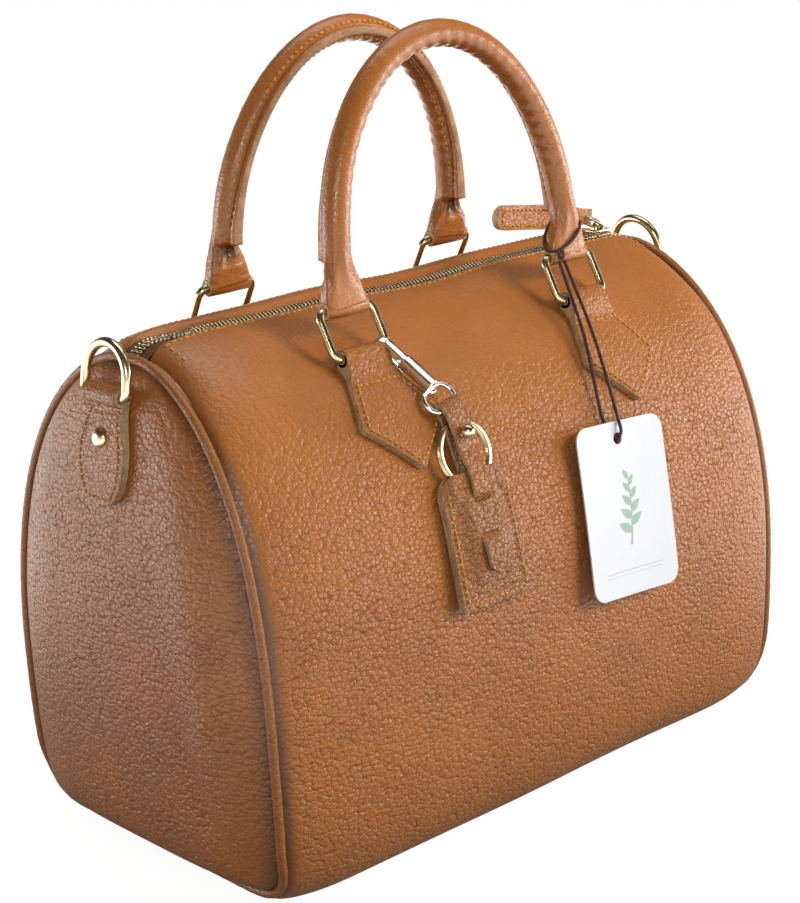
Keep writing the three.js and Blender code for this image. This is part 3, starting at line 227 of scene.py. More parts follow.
def swell(from_seam):
    """How far the leather stands out past the seam's outline."""
    d = np.clip(from_seam, 0, None)
    crown = BULGE * (1 - (1 - np.clip(d / BULGE_RUN, 0, 1)) ** BULGE_POWER)
    return crown - GROOVE_DEPTH * bell(d, GROOVE_WIDTH)


def zip_sag(x):
    """How far the zip and the leather beside it hang below the top line."""
    x = np.asarray(x, float)
    hang = ZIP_HANG * np.cos(np.clip(x / ZIP_HANG_RUN, -1, 1) * np.pi / 2) ** 2
    wave = ZIP_WAVE * np.sin(x / ZIP_WAVE_STEP + 0.8) * bell(x - ZIP_WAVE_AT, ZIP_WAVE_RUN)
    return hang + wave + ZIP_END_DROP * smooth(*ZIP_END_RUN, np.abs(x)) ** 2


def surface(side, x, arc, lift=0.0):
    """A point of the body: side is front or rear, lift is above the leather."""
    x, arc, lift = spread(x, arc, lift)
    y, z, ny, nz = outline(arc)
    inside = seam_x(z + BULGE) - np.abs(x)
    calm = smooth(0, 40, inside) * smooth(HALF_GIRTH - 40, HALF_GIRTH - 90, arc)
    out = swell(inside) + lift + SLACK * calm * ripple(x, arc, 2.0 + side)
    middle = 1 - smooth(*LIP_MIDDLE, np.abs(x))
    rise = mix(*LIP_RISE[side], middle) * (1 - smooth(0, LIP_RISE_RUN, arc))
    drop = zip_sag(x) * (1 - smooth(*SAG_RUN, arc)) - rise
    lip = mix(*LIP_REACH, middle) * (1 - smooth(0, LIP_REACH_RUN, arc))
    return joined(x, side * (y + ny * out - lip), z + BULGE + nz * out - drop)


def dome(across, z):
    """How far an end panel stands out, across from -1 to 1."""
    up = (z - BULGE - SEAM_HEIGHT / 2) / (SEAM_HEIGHT / 2)
    fade = np.where(up > 0, DOME_FADE_ABOVE, DOME_FADE_BELOW)
    return DOME * (1 - np.abs(across) ** 4) * (1 - np.clip(np.abs(up), 0, 1) ** fade)


def half_depth(z):
    """Half the depth of an end panel at a height."""
    return np.interp(z, (OUT_PATH[:, 1] + BULGE)[::-1], OUT_PATH[:, 0][::-1])


def gusset_dent(side, y, z):
    """Soft folds of an end panel: a ridge beside the front seam and a crease to the lower front corner."""
    inward = y + half_depth(z)
    ridge = by_height(z, RIDGE_HEIGHT) * bell(inward - by_height(z, RIDGE_PLACE), RIDGE_WIDTH)
    crease = by_height(z, CREASE_DEPTH) * bell(inward - by_height(z, CREASE_PLACE), CREASE_WIDTH)
    share = 1 if side == LEFT else RIGHT_FOLD_SHARE
    return share * (ridge - crease) + END_SLACK * ripple(y * 1.3, z, 4.0 + side)


def gusset_x(y, z):
    y, z = spread(y, z)
    return seam_x(z) + dome(y / np.maximum(half_depth(z), 1), z)


def end_grid(arcs, columns, inset):
    """Places across an end, from -1 to 1, and their depths and heights, inset from the seam."""
    f = np.linspace(-1, 1, columns)
    y, z, ny, nz = outline(arcs)
    depth, height = spread((y - ny * inset)[:, None] * f, (z + BULGE - nz * inset)[:, None])
    return f, depth, height


def round_girth(arcs):
    """Each wall and arc in turn, from the zip down the front and up the rear."""
    return [(FRONT, arc) for arc in arcs] + [(REAR, arc) for arc in arcs[-2::-1]]


def outward(grid):
    """Directions out of the bag on a grid of points."""
    middle = 120 * Z_AXIS
    normal = unit(np.cross(np.gradient(grid, axis=1), np.gradient(grid, axis=0)))
    return normal * np.sign(np.sum(normal * (grid - middle), -1, keepdims=True))


# Meshes

SHARP_ANGLE = 38  # degrees


def grid_faces(rows, columns, wrap_rows=False, wrap_columns=False, start=0):
    r = np.arange(rows if wrap_rows else rows - 1)
    c = np.arange(columns if wrap_columns else columns - 1)
    near, left = np.meshgrid(r, c, indexing="ij")
    far, right = (near + 1) % rows, (left + 1) % columns
    quads = [near * columns + left, near * columns + right, far * columns + right, far * columns + left]
    return start + np.stack(quads, -1).reshape(-1, 4)


def place_piece(piece, body, nodes=()):
    if piece.name not in bpy.context.scene.collection.objects:
        bpy.context.scene.collection.objects.link(piece)
    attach(piece, body)
    if nodes:
        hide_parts(*nodes)
    return piece


def make_piece(name, points, faces, materials, body, slot, nodes=(), painted=None, grain=1.0, sharp=False,
               shade=0.0):
    """A mesh in metres from points in millimetres. painted marks the faces that take the second material."""
    mesh = bpy.data.meshes.new(name)
    points = np.asarray(points, float).reshape(-1, 3) * MM
    mesh.from_pydata(points.tolist(), [], [list(map(int, f)) for f in faces])
    mesh.validate()
    for material in materials if isinstance(materials, (list, tuple)) else [materials]:
        mesh.materials.append(material)
    for label, values in (("grain", grain), ("shade", shade)):
        attribute = mesh.attributes.new(label, "FLOAT", "POINT")
        values = np.broadcast_to(np.asarray(values, float).reshape(-1), len(points))
        attribute.data.foreach_set("value", values.copy())
    if painted is not None:
        mesh.polygons.foreach_set("material_index", np.asarray(painted, int))
    bm = bmesh.new()
    bm.from_mesh(mesh)
    bmesh.ops.recalc_face_normals(bm, faces=bm.faces)
    bm.to_mesh(mesh)
    bm.free()
    if sharp:
        mesh.set_sharp_from_angle(angle=math.radians(SHARP_ANGLE))
    else:
        mesh.shade_smooth()
    return place_piece(bpy.data.objects.new(name, mesh), body, nodes)


def make_leather(name, marked_mesh, finishes, body, nodes=(), grain=1.0, sharp=False, shade=0.0):
    """A leather piece, whose finishes are its face and its cut edge."""
    points, faces, marks = marked_mesh
    return make_piece(name, points, faces, finishes, body, "leather", nodes, marks, grain, sharp, shade)


def make_metal(name, mesh, finish, body, nodes=(), sharp=False):
    return make_piece(name, *mesh, finish, body, "gold_metal", nodes, sharp=sharp)


def make_cloth(name, outer, node):
    """A piece of lining cloth from a grid on its outer face."""
    points, faces, _ = slab(outer, outer - outward(outer) * CLOTH)
    return make_piece(name, points, faces, lining_cloth, "bag", "lining_cloth", [node])


def slab(outer, inner):
    """Points, faces and rim marks of a sheet between two grids."""
    rows, columns = outer.shape[:2]
    size = rows * columns
    points = np.concatenate([outer.reshape(-1, 3), inner.reshape(-1, 3)])
    faces = [grid_faces(rows, columns), grid_faces(rows, columns, start=size)]
    at = np.arange(size).reshape(rows, columns)
    rim = np.concatenate([at[0], at[1:, -1], at[-1, -2::-1], at[-2:0:-1, 0]])
    after = np.roll(rim, -1)
    faces.append(np.stack([rim, after, after + size, rim + size], 1))
    marks = np.zeros(sum(map(len, faces)), int)
    marks[-len(rim):] = 1
    return points, np.concatenate(faces), marks


def both_faces(values):
    """Values of one grid of a slab, for the points of both."""
    return np.tile(np.asarray(values).reshape(-1), 2)


def merged(*meshes):
    points, faces, count = [], [], 0
    for p, f in meshes:
        p = np.asarray(p, float).reshape(-1, 3)
        points.append(p)
        faces += [[int(i) + count for i in face] for face in f]
        count += len(p)
    return np.concatenate(points), faces


def merged_marked(*meshes):
    """As merged, for meshes that also have marks."""
    return *merged(*(m[:2] for m in meshes)), np.concatenate([m[2] for m in meshes])


def tangents(path, closed):
    if closed:
        return unit(np.roll(path, -1, 0) - np.roll(path, 1, 0))
    return unit(np.gradient(path, axis=0))


def frames_along(path, closed):
    """Two cross directions that don't twist along a path."""
    tangent = tangents(path, closed)
    any_way = [0.3, 0.2, 0.93]
    sides = [unit(np.cross(tangent[0], any_way))]
    for t in tangent[1:]:
        sides.append(unit(sides[-1] - t * np.dot(sides[-1], t)))
    side = np.array(sides)
    return side, np.cross(tangent, side)


def ring_grid(path, side, up, wide, thick, sides, power=2.0):
    """Rings of points round a path, round at a power of 2 and squarer above it."""
    turn = full_turn(sides)
    sizes = (wide, thick, power)
    wide, thick, power = (np.broadcast_to(np.asarray(v, float), len(path))[:, None] for v in sizes)
    a, b = (np.sign(wave) * np.abs(wave) ** (2 / power) for wave in (np.cos(turn)[None], np.sin(turn)[None]))
    return path[:, None] + side[:, None] * (wide * a)[..., None] + up[:, None] * (thick * b)[..., None]


def skin(rings, closed=False):
    rows, sides = rings.shape[:2]
    faces = [list(f) for f in grid_faces(rows, sides, closed, True)]
    if not closed:
        faces.append(list(range(sides)))
        faces.append(list(range((rows - 1) * sides, rows * sides)))
    return rings.reshape(-1, 3), faces


def tube(path, radius, sides=14, closed=False):
    path = np.asarray(path, float)
    return skin(ring_grid(path, *frames_along(path, closed), radius, radius, sides), closed)


def planar_tube(path, normal, wide, thick, sides=16, closed=False, power=2.0):
    """A tube along a path in one plane: wide is in the plane and thick is across it."""
    path = np.asarray(path, float)
    up = np.broadcast_to(unit(normal), path.shape)
    return ring_grid(path, np.cross(up, tangents(path, closed)), up, wide, thick, sides, power)


def lathe(profile, steps=32):
    """Rings of points round +Z from a profile of radius and height."""
    profile = np.asarray(profile, float)
    turn = full_turn(steps)
    r, z = profile[:, :1], profile[:, 1:]
    return joined(r * np.cos(turn), r * np.sin(turn), z)


def stand(points, origin, x_axis, y_axis, z_axis):
    """Moves points from a frame of their own to the bag's."""
    points = np.asarray(points, float)
    basis = np.stack([unit(x_axis), unit(y_axis), unit(z_axis)])
    return np.asarray(origin, float) + points @ basis


def bevelled_prism(shape, low, high, bevel, segments=2):
    """Points and faces of an outline in XY raised between two heights, with its edges rounded."""
    bm = bmesh.new()
    corners = [bm.verts.new((x, y, low)) for x, y in shape]
    face = bm.faces.new(corners)
    raised = bmesh.ops.extrude_face_region(bm, geom=[face])
    moved = [v for v in raised["geom"] if isinstance(v, bmesh.types.BMVert)]
    bmesh.ops.translate(bm, verts=moved, vec=(0, 0, high - low))
    bmesh.ops.recalc_face_normals(bm, faces=bm.faces)
    flat_edges = [e for e in bm.edges if abs(e.verts[0].co.z - e.verts[1].co.z) < 1e-6]
    bmesh.ops.bevel(bm, geom=flat_edges, offset=bevel, segments=segments, profile=0.6, affect="EDGES")
    bm.verts.index_update()
    points = np.array([v.co[:] for v in bm.verts])
    faces = [[v.index for v in f.verts] for f in bm.faces]
    bm.free()
    return points, faces


def rectangle(x_low, x_high, y_low, y_high):
    return [(x_low, y_low), (x_high, y_low), (x_high, y_high), (x_low, y_high)]


def rounded_loop(width, height, corner, steps=10):
    """A rectangle with round corners in a plane, its lower bar's middle at the origin."""
    side = width / 2 - corner
    low, high = corner, height - corner
    middles = [(side, low, -90), (side, high, 0), (-side, high, 90), (-side, low, 180)]
    return np.concatenate([arc_points(x, y, corner, start, start + 90, steps - 1) for x, y, start in middles])


def make_wire_loop(name, flat_points, origin, across, up, wire, count, body, node):
    """A closed loop of gold wire, from its shape in the plane of across and up."""
    path = resample(origin + flat_points[:, :1] * across + flat_points[:, 1:] * up, count, True)
    rings = planar_tube(path, np.cross(across, up), wire / 2, wire / 2, 16, True)
    make_metal(name, skin(rings, True), gold, body, [node])


# Repeats: a small mesh set along a path by Geometry Nodes, and then made real

def make_repeat_tree():
    """A tree that sets copies of a small mesh at equal steps along a path, and the names of its inputs."""
    tree = bpy.data.node_groups.new("repeat_along_path", "GeometryNodeTree")
    tree.interface.new_socket("Path", in_out="INPUT", socket_type="NodeSocketGeometry")
    inputs = {}
    for label, kind in (("Copy", "Object"), ("Pitch", "Float"), ("Finish", "Material")):
        socket = tree.interface.new_socket(label, in_out="INPUT", socket_type="NodeSocket" + kind)
        inputs[label] = socket.identifier
    tree.interface.new_socket("Copies", in_out="OUTPUT", socket_type="NodeSocketGeometry")
    make, link = tree.nodes.new, tree.links.new
    start, end = make("NodeGroupInput"), make("NodeGroupOutput")
    to_curve = make("GeometryNodeMeshToCurve")
    to_points = make("GeometryNodeCurveToPoints")
    to_points.mode = "LENGTH"
    source = make("GeometryNodeObjectInfo")
    copies = make("GeometryNodeInstanceOnPoints")
    align = make("FunctionNodeAlignRotationToVector")
    align.axis = "X"
    realise = make("GeometryNodeRealizeInstances")
    finish = make("GeometryNodeSetMaterial")
    link(start.outputs["Path"], to_curve.inputs[0])
    link(to_curve.outputs[0], to_points.inputs[0])
    link(start.outputs["Pitch"], to_points.inputs["Length"])
    link(start.outputs["Copy"], source.inputs["Object"])
    link(to_points.outputs["Points"], copies.inputs["Points"])
    link(source.outputs["Geometry"], copies.inputs["Instance"])
    link(to_points.outputs["Tangent"], align.inputs["Vector"])
    link(align.outputs["Rotation"], copies.inputs["Rotation"])
    link(copies.outputs[0], realise.inputs[0])
    link(realise.outputs[0], finish.inputs["Geometry"])
    link(start.outputs["Finish"], finish.inputs["Material"])
    link(finish.outputs[0], end.inputs[0])
    return tree, inputs


REPEAT_TREE, REPEAT_INPUTS = make_repeat_tree()


def repeat_along(name, paths, template, pitch, body, nodes=()):
    """One mesh of copies of the template along one or more paths."""
    points, edges, count = [], [], 0
    for path in paths:
        path = np.asarray(path, float) * MM
        points += path.tolist()
        edges += [(count + i, count + i + 1) for i in range(len(path) - 1)]
        count += len(path)
    mesh = bpy.data.meshes.new(name + "_path")
    mesh.from_pydata(points, edges, [])
    host = bpy.data.objects.new(name + "_path", mesh)
    modifier = host.modifiers.new("repeat", "NODES")
    modifier.node_group = REPEAT_TREE
    modifier[REPEAT_INPUTS["Copy"]] = template
    modifier[REPEAT_INPUTS["Pitch"]] = pitch * MM
    modifier[REPEAT_INPUTS["Finish"]] = template.data.materials[0]
    bpy.context.scene.collection.objects.link(host)
    depsgraph = bpy.context.evaluated_depsgraph_get()
    made = bpy.data.meshes.new_from_object(host.evaluated_get(depsgraph), depsgraph=depsgraph)
    bpy.data.objects.remove(host)
    made.name = name
    return place_piece(bpy.data.objects.new(name, made), body, nodes)


STITCH, TAB_STITCH, LONG_STITCH = 3.0, 3.1, 3.3  # from one stitch to the next


def sew(name, paths, pitch, body):
    return repeat_along(name, paths, stitch, pitch, body)


def make_template(name, points, faces, material):
    mesh = bpy.data.meshes.new(name)
    mesh.from_pydata((np.asarray(points, float) * MM).tolist(), [], [list(map(int, f)) for f in faces])
    mesh.materials.append(material)
    mesh.shade_smooth()
    template = bpy.data.objects.new(name, mesh)
    bpy.context.scene.collection.objects.link(template)
    return template


def make_stitch(material, length=2.2, width=1.25):
    """One stitch: a short thread that dips at both ends."""
    s = np.linspace(-1, 1, 9)
    path = joined(s * length / 2, 0, 0.05 - 0.4 * np.abs(s) ** 3)
    size = width / 2 * (1 - 0.75 * np.abs(s) ** 4)
    rings = planar_tube(path, Y_AXIS, size * 0.8, size, 8)
    return make_template("stitch", *skin(rings), material)


# Materials

class Nodes:
    """Adds nodes to a tree. An input is a number, a colour or the output of another node."""

    def __init__(self, tree):
        self.tree = tree

    def add(self, kind, **settings):
        node = self.tree.nodes.new(kind)
        for label, value in settings.items():
            setattr(node, label, value)
        return node

    def feed(self, socket, value):
        if isinstance(value, bpy.types.NodeSocket):
            self.tree.links.new(value, socket)
        elif socket.type == "RGBA":
            socket.default_value = (*value, 1)
        else:
            socket.default_value = value

    def fill(self, node, inputs):
        for label, value in inputs.items():
            self.feed(node.inputs[label], value)

    def math(self, operation, *values, kind="ShaderNodeMath", output=0):
        node = self.add(kind, operation=operation)
        for socket, value in zip(node.inputs, values):
            self.feed(socket, value)
        return node.outputs[output]

    def vector_math(self, operation, *values, output="Vector"):
        return self.math(operation, *values, kind="ShaderNodeVectorMath", output=output)

    def times(self, value, share):
        return self.math("MULTIPLY", value, share)

    def total(self, first, *others):
        for other in others:
            first = self.math("ADD", first, other)
        return first

    def ranged(self, value, low, high, to_low, to_high):
        """A soft step of the value from one range to another."""
        node = self.add("ShaderNodeMapRange", interpolation_type="SMOOTHSTEP")
        ranges = {"From Min": low, "From Max": high, "To Min": to_low, "To Max": to_high}
        self.fill(node, {"Value": value, **ranges})
        return node.outputs["Result"]

    def mixed(self, fraction, a, b):
        """A colour between two."""
        node = self.add("ShaderNodeMix", data_type="RGBA")
        for socket, value in zip((node.inputs[0], node.inputs[6], node.inputs[7]), (fraction, a, b)):
            self.feed(socket, value)
        return node.outputs[2]

    def noise(self, vector, scale, detail=2.0, rough=0.5, output="Fac"):
        node = self.add("ShaderNodeTexNoise")
        self.fill(node, {"Vector": vector, "Scale": scale, "Detail": detail, "Roughness": rough})
        return node.outputs[output]

    def cells(self, vector, feature, scale):
        node = self.add("ShaderNodeTexVoronoi", feature=feature)
        self.fill(node, {"Vector": vector, "Scale": scale, "Randomness": 0.9})
        return node.outputs["Distance"]

    def bands(self, vector, direction, pitch, distortion, detail=2.0):
        """Waves a pitch apart, in millimetres."""
        node = self.add("ShaderNodeTexWave", bands_direction=direction)
        scale = 1000 / pitch / 20
        self.fill(node, {"Vector": vector, "Scale": scale, "Distortion": distortion, "Detail": detail})
        return node.outputs["Fac"]

    def attribute(self, name):
        return self.add("ShaderNodeAttribute", attribute_name=name).outputs["Fac"]

    def background_rays(self):
        """The light path, and the rays that see the plain background."""
        path = self.add("ShaderNodeLightPath")
        clear = self.math("MAXIMUM", path.outputs["Is Camera Ray"], path.outputs["Is Transmission Ray"])
        return path, clear


class Finish(Nodes):
    """A material in the making, on the object's own coordinates."""

    def __init__(self, name):
        self.material = bpy.data.materials.new(name)
        self.material.use_nodes = True
        super().__init__(self.material.node_tree)
        self.shader = self.tree.nodes["Principled BSDF"]
        self.place = self.add("ShaderNodeTexCoord").outputs["Object"]

    def look(self, **inputs):
        self.fill(self.shader, {label.replace("_", " "): value for label, value in inputs.items()})

    def bump(self, height, strength, distance):
        """A relief whose distance is in millimetres."""
        node = self.add("ShaderNodeBump")
        self.fill(node, {"Height": height, "Strength": strength, "Distance": distance * MM})
        self.look(Normal=node.outputs["Normal"])


def toned(colour, share):
    return tuple(min(1, c * share) for c in colour)


# Leather: the pebbles' wander and stretch, and what each layer adds to the relief
WANDER_SCALE, WANDER = 420, 0.0026
PEBBLE_STRETCH = (0.8, 0.8, 1.0)
CROWN_POWER, CROWN_SHARE = 2.6, 2.1
SMALL_POWER, SMALL_SHARE = 2.0, -0.3
DITCH_WIDTH, DITCH_SHARE = 0.13, 0.2
PORE_SCALE, PORE_SHARE = 2600, 0.12
PATCH_SCALE, TONE_SCALE = 95, 22


def leather_material(name, pale, deep, cell=2.1, depth=0.46, gloss=(0.44, 0.32), crease=0.17):
    """Pebbled leather: grain says how strong the pebbles are, and shade how much painted shade darkens it."""
    finish = Finish(name)
    place = finish.place
    wander = finish.noise(place, WANDER_SCALE, output="Color")
    shifted = finish.vector_math("MULTIPLY_ADD", wander, (WANDER,) * 3, place)
    stretched = finish.vector_math("MULTIPLY", shifted, PEBBLE_STRETCH)
    pebbles = finish.cells(stretched, "F1", 1000 / cell)
    edges = finish.cells(stretched, "DISTANCE_TO_EDGE", 1000 / cell)
    small_pebbles = finish.cells(stretched, "F1", 2300 / cell)
    slope = finish.times(finish.math("POWER", pebbles, CROWN_POWER), CROWN_SHARE)
    crown = finish.math("SUBTRACT", 1.0, slope)
    small = finish.times(finish.math("POWER", small_pebbles, SMALL_POWER), SMALL_SHARE)
    ditch = finish.ranged(edges, 0, DITCH_WIDTH, 0, 1)
    pores = finish.times(finish.noise(place, PORE_SCALE, 3, 0.6), PORE_SHARE)
    patch = finish.noise(place, PATCH_SCALE)
    strong = finish.times(finish.attribute("grain"), finish.ranged(patch, 0.3, 0.7, 0.75, 1.0))
    height = finish.total(crown, finish.times(ditch, DITCH_SHARE), small, pores)
    finish.bump(height, strong, depth)
    wide = finish.noise(place, TONE_SCALE, 3, 0.55)
    body = finish.mixed(finish.ranged(wide, 0.3, 0.7, 0, 1), toned(pale, 0.91), toned(pale, 1.07))
    # Painted shade in the pebbles' creases, as strong as the crease share.
    crease_shade = finish.times(finish.ranged(ditch, 0, 1, crease, 0), strong)
    hue = finish.mixed(crease_shade, body, deep)
    # Painted shade from the shade attribute, beside seams and in the handles' hollows.
    finish.look(Base_Color=finish.mixed(finish.attribute("shade"), hue, toned(deep, 0.4)),
                Roughness=finish.ranged(height, 0.3, 1.3, *gloss), Specular_IOR_Level=0.6)
    return finish.material


def edge_material(name, colour):
    """A painted or raw cut edge of leather."""
    finish = Finish(name)
    fibre = finish.noise(finish.place, 900, 4, 0.7)
    patch = finish.noise(finish.place, 120)
    level = finish.ranged(finish.total(finish.times(fibre, 0.6), finish.times(patch, 0.4)), 0.35, 0.68, 0, 1)
    finish.look(Base_Color=finish.mixed(level, toned(colour, 0.55), toned(colour, 1.25)), Roughness=0.6)
    finish.bump(fibre, 0.5, 0.2)
    return finish.material


def metal_material(name, colour, roughness=0.14, brush=0.05):
    """Plated metal with a slight smear."""
    finish = Finish(name)
    smear = finish.noise(finish.place, 160, 3, 0.6)
    fine = finish.noise(finish.place, 3200)
    tarnish = finish.ranged(smear, 0.45, 0.8, 0, 1)
    finish.look(Base_Color=finish.mixed(tarnish, colour, toned(colour, 0.9)), Metallic=1,
                Roughness=finish.ranged(smear, 0.3, 0.75, roughness * 0.75, roughness * 1.5))
    finish.bump(fine, brush, 0.1)
    return finish.material


def cloth_material(name, colour, pitch=0.5, sheen=0.3):
    """A plain weave on the object's own axes."""
    finish = Finish(name)
    weave = finish.math("MAXIMUM", *(finish.bands(finish.place, way, pitch, 0.6) for way in ("X", "Y")))
    soft = finish.noise(finish.place, 300, 3)
    tone = finish.times(weave, finish.total(soft, 0.5))
    finish.look(Base_Color=finish.mixed(tone, toned(colour, 0.6), toned(colour, 1.15)), Roughness=0.85,
                Sheen_Weight=sheen)
    finish.bump(weave, 0.4, 0.2)
    return finish.material


def thread_material(name, colour, pitch=0.7, sheen=0.2):
    """Twisted thread or cord: fine slanting strands."""
    finish = Finish(name)
    strands = finish.bands(finish.place, "DIAGONAL", pitch, 1.5, 1)
    fuzz = finish.noise(finish.place, 1500, 3)
    tone = finish.total(finish.times(strands, 0.6), finish.times(fuzz, 0.4))
    finish.look(Base_Color=finish.mixed(tone, toned(colour, 0.65), toned(colour, 1.2)), Roughness=0.6,
                Sheen_Weight=sheen)
    finish.bump(strands, 0.5, 0.2)
    return finish.material


def paper_material(name, colour):
    finish = Finish(name)
    fibre = finish.noise(finish.place, 700, 5, 0.65)
    tone = finish.ranged(fibre, 0.3, 0.7, 0, 1)
    finish.look(Base_Color=finish.mixed(tone, toned(colour, 0.975), colour), Roughness=0.42)
    finish.bump(fibre, 0.08, 0.1)
    return finish.material


TAN = (0.395, 0.13, 0.02)
# The dark tan is the colour of painted shade, in the pebbles' creases, beside seams and in hollows.
TAN_SHADE_COLOUR = (0.15, 0.045, 0.008)
HANDLE_TAN = (0.43, 0.142, 0.024)
PIPING_TAN = (0.33, 0.112, 0.02)
FOB_TAN = (0.335, 0.117, 0.024)
leather = leather_material("tan_leather", TAN, TAN_SHADE_COLOUR)
handle_leather = leather_material("handle_leather", HANDLE_TAN, TAN_SHADE_COLOUR, 1.7, 0.14, (0.34, 0.25), 0.2)
piping_leather = leather_material("piping_leather", PIPING_TAN, TAN_SHADE_COLOUR, 1.5, 0.15, (0.42, 0.34), 0.2)
trim_leather = leather_material("trim_leather", TAN, TAN_SHADE_COLOUR, 1.9, 0.45, (0.44, 0.32), 0.2)
fob_leather = leather_material("fob_leather", FOB_TAN, TAN_SHADE_COLOUR, 2.0, 0.55, (0.4, 0.28), 0.25)
cut_edge = edge_material("cut_edge", (0.6, 0.42, 0.22))
raw_edge = edge_material("raw_edge", (0.46, 0.24, 0.11))
gold = metal_material("pale_gold", (0.72, 0.6, 0.37), 0.2)
bright = metal_material("bright_metal", (0.86, 0.82, 0.75), 0.16)
zip_metal = metal_material("zip_metal", (0.72, 0.6, 0.38), 0.24)
thread = thread_material("gold_thread", (0.6, 0.285, 0.05))
cord_thread = thread_material("brown_cord", (0.05, 0.02, 0.018), 0.9, 0.05)
tape_cloth = cloth_material("zip_tape_cloth", (0.13, 0.05, 0.017), sheen=0.0)
lining_cloth = cloth_material("lining_cloth", (0.09, 0.06, 0.04), 0.6)
core_cloth = cloth_material("core_cloth", (0.55, 0.47, 0.36), 0.8)
board_paper = paper_material("board_paper", (0.17, 0.13, 0.09))
card_paper = paper_material("card_paper", (0.76, 0.77, 0.79))
ink_green = paper_material("ink_green", (0.32, 0.47, 0.34))
ink_grey = paper_material("ink_grey", (0.55, 0.58, 0.57))
BODY_FINISH = [leather, raw_edge]
HANDLE_FINISH = [handle_leather, cut_edge]
TRIM_FINISH = [trim_leather, cut_edge]
FOB_FINISH = [fob_leather, cut_edge]


# Body panel, ends and piping

EDGE_FOLD, EDGE_DROP = 3.4, 5.2  # where the leather turns down beside the zip
# How dark the painted shade beside the piping is.
SEAM_SHADE = 0.95
GUSSET_LEATHER, GUSSET_INSET, GUSSET_TUCK = 1.8, 2.7, 3.6
GUSSET_FOOT, GUSSET_TOP = 8, 232  # heights from which its edge is measured
PIPING_RADIUS, PIPING_INSET, PIPING_TUCK = 2.15, 2.4, 2.5
PIPING_STEPS = 320


def make_body():
    fold = np.array([0, 0.5, 1.1, 2, EDGE_FOLD])
    arcs = np.concatenate([fold, np.linspace(5, HALF_GIRTH, 100)])
    t = np.linspace(-1, 1, 151)
    share = np.sign(t) * (1 - (1 - np.abs(t)) ** 1.5)
    rows, grains, shades = [], [], []
    for side, arc in round_girth(arcs):
        _, z, _, _ = outline(arc)
        reach = seam_x(z + BULGE) - 1.3
        x = share * reach
        rows.append(surface(side, x, arc, -EDGE_DROP * max(0, 1 - arc / EDGE_FOLD) ** 2))
        from_seam = reach - np.abs(x)
        grains.append(mix(0.3, 1, smooth(20, 105, arc)) * mix(0.2, 1, smooth(1, 9, from_seam)))
        # Painted shade beside the piping, where the leather dips into the seam.
        shades.append(SEAM_SHADE * bell(from_seam, 3.0))
    outer = np.array(rows)
    sheet = slab(outer, outer - outward(outer) * LEATHER)
    make_leather("body_shell", sheet, BODY_FINISH, "bag", ["body_panel"], both_faces(grains),
                 shade=both_faces(shades))


def make_gusset(name, side):
    arcs = np.linspace(HALF_GIRTH - BASE_FLAT, 0, 84)
    f, depth, height = end_grid(arcs, 61, GUSSET_INSET)
    half = outline(arcs)[0][:, None] + 1
    edge = np.minimum((1 - np.abs(f)) * half, np.minimum(height - GUSSET_FOOT, GUSSET_TOP - height))
    edge = np.clip(edge, 0, None)
    tuck = GUSSET_TUCK * bell(edge, 3.6)
    out = seam_x(height) + dome(f, height) - tuck + smooth(0, 16, edge) * gusset_dent(side, depth, height)
    outer = joined(side * out, depth, height)
    grain = mix(0.65, 1, smooth(14, 46, depth + half_depth(height))) * mix(1, 0.7, smooth(150, 210, height))
    # Painted shade along the end panel's edges, beside the piping.
    make_leather(name + "_end_panel", slab(outer, outer - side * GUSSET_LEATHER * X_AXIS), BODY_FINISH, "bag",
                 [name + "_gusset"], both_faces(grain), shade=both_faces(SEAM_SHADE * bell(edge, 4.8)))


def make_piping(name, side):
    y, z, ny, nz = outline(np.linspace(0, HALF_GIRTH, 160))
    tucked = PIPING_TUCK * smooth(30, 8, z)
    half = joined(side * (seam_x(z + BULGE) - tucked), y - ny * PIPING_INSET, z + BULGE - nz * PIPING_INSET)
    path = resample(np.concatenate([half, mirrored(half, REAR)[::-1]]), PIPING_STEPS, True)
    step = np.arange(PIPING_STEPS)
    pucker = 1 + 0.035 * np.sin(step * 1.9) * np.sin(step * 0.37)
    points, faces = tube(path, PIPING_RADIUS * pucker, 12, True)
    make_piece(name + "_piping_cord", points, faces, piping_leather, "bag", "piping_leather",
               [name + "_piping"])


# Rings, tabs and handles

RING_LOWER = np.array([0, -50.668, 223.877])  # middles of the bars of the front rings
RING_UPPER = np.array([0, -40.340, 243.302])
RING_SIZE = (31, 22, 4.5)  # width, height and corner
RING_STEPS = 120
RING_LEAN, HANDLE_LEAN = 28, 6  # degrees
# Places on a tab, as arcs down from the zip
TAB_ARC, TAB_NECK, TAB_SHOULDER, TAB_TIP = 41, 48, 72, 93
TAB_HALF, TAB_LOOP_HALF, TAB_SKEW = 23.5, 12.2, 5
TAB_LIFT, TAB_WEDGE = 3.1, 8.3
TAB_SEAM_TOP = TAB_NECK + 5.5
LOOP_PLAY, LOOP_EDGE = 0.35, 0.5
HANDLE_STEPS, HANDLE_SIDES = 260, 40
HANDLE_STRAIGHT, HANDLE_RISE = 16, 110
HANDLE_FOOT_HALF, HANDLE_LOOP_HALF = 12, 11.8
GRIP_LOW, GRIP_HIGH = 13.0, 12.2  # thickness of the roll above its foot and at its top
WRINKLE_RUN = 330
HOLLOW_DEPTH = 3.6
FLANGE_FROM, FLANGE_HEIGHT = 20, 2.2
CORE_FROM, CORE_RADIUS, STRAND_RELIEF = 24, 3.8, 0.35


def mirrored(point, side):
    """A point of the front, or the same point of the rear."""
    return np.asarray(point, float) * np.array([1, -side, 1])


def leaning_up(side, degrees):
    angle = math.radians(degrees)
    return np.array([0, -side * math.sin(angle), math.cos(angle)])


def tab_skew(side, arc):
    """How far the front tabs turn to the right."""
    return TAB_SKEW * smooth(TAB_NECK, TAB_TIP - 10, arc) * (side == FRONT)


